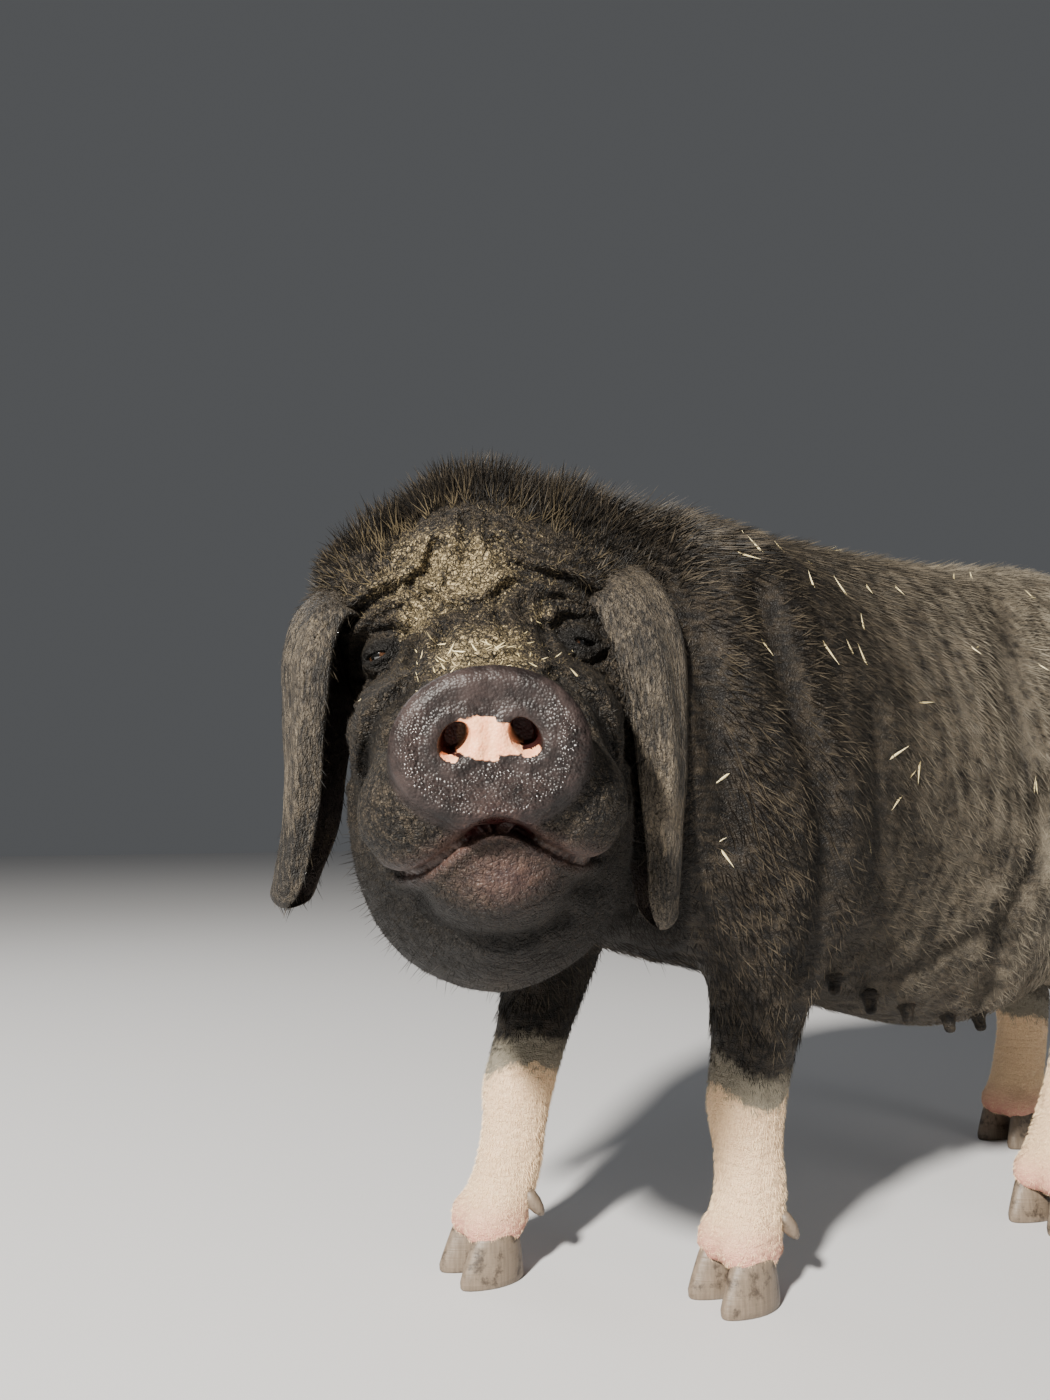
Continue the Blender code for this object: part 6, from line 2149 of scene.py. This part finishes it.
@dataclass
class HoofSet:
    """The eight hooves and eight dewclaws."""

    form: SowForm
    placement: Placement
    half_spacing: float = 0.0172
    splay: float = 5.0
    levels: Tuple = (
        (0.0000, -0.0160, 0.0140, 0.0300),
        (0.0015, -0.0162, 0.0150, 0.0308),
        (0.0060, -0.0165, 0.0155, 0.0309),
        (0.0140, -0.0156, 0.0153, 0.0290),
        (0.0220, -0.0145, 0.0149, 0.0268),
        (0.0320, -0.0132, 0.0145, 0.0238),
        (0.0400, -0.0121, 0.0140, 0.0208),
        (0.0418, -0.0120, 0.0120, 0.0180),
    )
    claw_place: Triple = (0.0205, 0.029, 0.070)
    claw_length: float = 0.026
    claw_radius: float = 0.0085
    hoof_sides: int = 28
    claw_sides: int = 18

    def hoof(self, foot: Pair, sign: float) -> Mesh:
        """One hoof, flat underneath, pointed in front."""
        turn = Matrix.Rotation(math.radians(self.splay) * sign, 3, "Z")
        rings = []
        for z, y, half_width, half_length in self.levels:
            centre = Vector((foot[0], foot[1], z)) + turn @ Vector((sign * self.half_spacing, y, 0))
            points = []
            for k in range(self.hoof_sides):
                around = FULL_TURN * (k + 0.5) / self.hoof_sides
                across, along = math.cos(around), math.sin(around)
                narrow = 1.0 - 0.22 * max(0.0, -along)
                flat = 0.9 if across * sign < 0 else 1.0
                offset = Vector((half_width * across * narrow * flat, half_length * along, 0))
                points.append(centre + turn @ offset + self.placement.shift)
            rings.append(points)
        return loft("hoof", rings)

    def dewclaw(self, foot: Pair, sign: float) -> Mesh:
        """One small claw behind the foot."""
        x, y, z = self.claw_place
        top = Vector((foot[0] + sign * x, foot[1] + y - 0.012, z)) + self.placement.shift
        heading = Vector((0.18 * sign, 0.55, -0.80)).normalized()
        side = Vector((1.0, 0.0, 0.0))
        side = (side - heading * side.dot(heading)).normalized()
        up = heading.cross(side)
        rings = []
        for share, swell in (
            (0.0, 0.78), (0.25, 0.95), (0.5, 0.98), (0.75, 0.78), (0.92, 0.5), (1.0, 0.25)
        ):
            reach = self.claw_radius * swell
            points = []
            for k in range(self.claw_sides):
                around = FULL_TURN * k / self.claw_sides
                centre = top + heading * self.claw_length * share
                points.append(
                    centre + side * reach * math.cos(around) + up * reach * 0.8 * math.sin(around)
                )
            rings.append(points)
        return loft("dewclaw", rings)

    def build(self, finish: Material) -> None:
        """Builds every hoof and claw in place of its solid."""
        for limb, foot in self.form.feet.items():
            for sign, letter in ((1.0, "a"), (-1.0, "b")):
                for kind, mesh in (("hoof", self.hoof(foot, sign)), ("dewclaw", self.dewclaw(foot, sign))):
                    piece = place_object(f"sow_{kind}_{limb.value}_{letter}", mesh)
                    piece.data.materials.append(finish)
                    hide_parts(f"{kind}_{limb.value}_{letter}")
                    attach(piece, "root")


@dataclass
class Tail:
    """The hanging tail with its switch."""

    form: SowForm
    placement: Placement
    places: Tuple[Triple, ...] = (
        (0.000, 0.405, 0.590),
        (0.000, 0.442, 0.570),
        (0.003, 0.468, 0.520),
        (0.006, 0.476, 0.450),
        (0.004, 0.472, 0.375),
        (0.000, 0.466, 0.310),
    )
    radii: Tuple[float, ...] = (0.0175, 0.0165, 0.0130, 0.0105, 0.0085, 0.0050)
    rows: int = 48
    sides: int = 20
    hairs: int = 900
    low_share: float = 0.62
    seed: int = 23

    def build(self, skin_finish: Material, hair_finish: Material) -> None:
        """Builds the tail and the hair at its tip."""
        knots = np.linspace(0.0, 1.0, len(self.places))
        shares = np.linspace(0, 1, self.rows)
        line = along_stations(np.column_stack([knots, np.array(self.places)]), shares)
        radii = along_stations(np.column_stack([knots, np.array(self.radii)[:, None]]), shares)[:, 0]
        rings = []
        turns = np.linspace(0, FULL_TURN, self.sides, endpoint=False)
        for k in range(self.rows):
            heading = Vector(line[min(k + 1, self.rows - 1)] - line[max(k - 1, 0)]).normalized()
            side = Vector((1.0, 0.0, 0.0))
            side = (side - heading * side.dot(heading)).normalized()
            up = heading.cross(side)
            radius = float(radii[k]) * (1.0 + 0.03 * math.sin(k * 1.4))
            centre = Vector(line[k]) + self.placement.shift
            rings.append([centre + side * radius * math.cos(a) + up * radius * math.sin(a) for a in turns])
        mesh = loft("sow_tail", rings)
        for name in MARKS:
            store(mesh, name, np.zeros(len(mesh.vertices)))
        tail = place_object("sow_tail", mesh)
        mesh.materials.append(skin_finish)
        switch = self.switch(hair_finish)
        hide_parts("tail")
        for piece in (tail, switch):
            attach(piece, "root")

    def switch(self, finish: Material) -> Object:
        """Long bristles round the tail's tip and sparse ones along it."""
        draw = np.random.default_rng(self.seed)
        points, faces, along, shade, spots = [], [], [], [], []
        knots = np.linspace(0.0, 1.0, len(self.places))
        table = np.column_stack([knots, np.array(self.places)])
        for _ in range(self.hairs):
            low = draw.random() < self.low_share
            share = 1.0 - draw.random() * (0.24 if low else 0.92)
            place = Vector(along_stations(table, np.array([share]))[0]) + self.placement.shift
            radius = float(np.interp(share, knots, self.radii)) * 0.92
            around = draw.uniform(0, FULL_TURN)
            out = Vector((math.cos(around), math.sin(around), 0.0))
            root = place + out * radius
            reach = draw.uniform(0.040, 0.062) if low else draw.uniform(0.012, 0.022)
            heading = out * draw.uniform(0.05, 0.30) + Vector((draw.uniform(-0.1, 0.1), 0.0, -1))
            heading.normalize()
            side = heading.cross(out).normalized() * 0.0007
            lift = side.cross(heading).normalized() * 0.0005
            start = len(points)
            for step, taper in ((0.0, 1.0), (0.5, 0.75)):
                centre = root + heading * reach * step - out * reach * 0.10 * step * step
                points += [centre + side * taper, centre - side * taper, centre + lift * taper]
                along += [step] * 3
            points.append(root + heading * reach - out * reach * 0.12)
            along.append(1.0)
            shade += [draw.random()] * 7
            spots += [(0.02 + 0.96 * share, 0.02 + 0.96 * around / FULL_TURN)] * 7
            faces += bristle_faces(start)
        mesh = bpy.data.meshes.new("sow_tail_switch")
        mesh.from_pydata([tuple(p) for p in points], [], faces)
        store(mesh, "hair_along", np.array(along))
        store(mesh, "hair_shade", np.array(shade))
        for name in ("sock", "dust"):
            store(mesh, name, np.zeros(len(points)))
        layer = mesh.uv_layers.new(name="OFBake")
        corners = np.array([loop.vertex_index for loop in mesh.loops])
        jitter = (
            (0, 0), (0.001, 0), (0, 0.001), (0, 0.002), (0.001, 0.002), (0.0005, 0.0025), (0.0005, 0.003)
        )
        jitter = np.tile(np.array(jitter), (self.hairs, 1))
        uv = (np.array(spots) * 0.98 + jitter)[corners]
        layer.data.foreach_set("uv", uv.astype(np.float32).ravel())
        mesh.materials.append(finish)
        return place_object("sow_tail_switch", mesh)


@dataclass
class Studio:
    """Floor, lights and camera."""

    form: SowForm
    placement: Placement
    eye_point: Triple = (0.79, -0.815, 0.392)
    heading: float = 61.0
    upward: float = 6.5
    focal_pixels: float = 1052.0
    long_side_pixels: float = 1400.0

    def camera(self) -> None:
        """The camera that gives the photograph's framing."""
        made = bpy.data.objects.new("camera", bpy.data.cameras.new("camera"))
        bpy.context.scene.collection.objects.link(made)
        made.data.sensor_width = 36.0
        made.data.sensor_fit = "AUTO"
        made.data.lens = 36.0 * self.focal_pixels / self.long_side_pixels
        made.data.dof.use_dof = False
        yaw, pitch = math.radians(self.heading), math.radians(self.upward)
        level = math.cos(pitch)
        forward = Vector((-math.sin(yaw) * level, math.cos(yaw) * level, math.sin(pitch)))
        made.location = Vector(self.eye_point) + self.placement.shift
        made.rotation_mode = "QUATERNION"
        made.rotation_quaternion = forward.to_track_quat("-Z", "Y")
        bpy.context.scene.camera = made

    def floor(self) -> None:
        """A plain pale floor."""
        n = Nodes("studio_floor")
        mesh = bpy.data.meshes.new("studio_floor")
        mesh.from_pydata([(-12, -12, 0), (12, -12, 0), (12, 12, 0), (-12, 12, 0)], [], [(0, 1, 2, 3)])
        mesh.materials.append(n.finish((0.60, 0.60, 0.61), 0.8))
        place_object("studio_floor", mesh)

    def light(
        self, name: str, place: Triple, aim: Triple, energy: float, size: float, colour: Triple
    ) -> None:
        """One soft area light."""
        lamp = bpy.data.lights.new(name, "AREA")
        lamp.shape = "DISK"
        lamp.size = size
        lamp.energy = energy
        lamp.color = colour
        made = bpy.data.objects.new(name, lamp)
        bpy.context.scene.collection.objects.link(made)
        made.location = Vector(place) + self.placement.shift
        made.rotation_mode = "QUATERNION"
        made.rotation_quaternion = (Vector(aim) - Vector(place)).to_track_quat("-Z", "Y")

    def build(self) -> None:
        """Sets up the whole studio."""
        self.camera()
        self.floor()
        self.light("key", (2.48, -3.92, 3.05), (0.1, -0.15, 0.40), 980.0, 0.45, (1.0, 0.955, 0.88))
        self.light("side", (2.6, 0.9, 2.1), (0.1, 0.0, 0.45), 8.0, 1.3, (1.0, 0.97, 0.93))
        self.light("rim", (-2.2, -0.9, 2.3), (0.0, -0.2, 0.5), 15.0, 1.4, (0.96, 0.98, 1.0))
        world = bpy.data.worlds.new("studio")
        bpy.context.scene.world = world
        world.use_nodes = True
        sky = world.node_tree.nodes["Background"].inputs
        sky["Color"].default_value = (0.86, 0.89, 0.93, 1.0)
        sky["Strength"].default_value = 0.105


def main() -> None:
    """Builds and dresses the sow in order."""
    logging.basicConfig(level=logging.INFO, format="%(name)s %(message)s")
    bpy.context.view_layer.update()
    form = SowForm()
    placement = Placement(form)
    markings = Markings(form)
    hide, bristle = SkinFinish().build(), HairFinish().build()

    builder = SkinBuilder(form, placement)
    skin = builder.build()
    builder.mark(skin.data, markings)
    skin.data.materials.clear()
    skin.data.materials.append(hide)
    log.info("skin: %d triangles", count_triangles(skin))
    coat_builder = CoatBuilder(form, placement, markings)
    coat = coat_builder.build(skin, bristle)
    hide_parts(*builder.flesh_nodes)
    for piece in [skin, *coat]:
        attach(piece, "root")

    TeatRows(form, placement).build(skin, hide)
    EarPair(form, placement).build(EarFinish().build(), coat_builder, bristle)
    EyePair(form, placement).build(EyeFinish().build())
    HoofSet(form, placement).build(HornFinish().build())
    Tail(form, placement).build(hide, bristle)
    enamel = ToothFinish().build()
    for name in ("tooth_left", "tooth_right"):
        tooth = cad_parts[name]
        tooth.data.materials.clear()
        tooth.data.materials.append(enamel)
    Studio(form, placement).build()


if __name__ == "__main__":
    main()
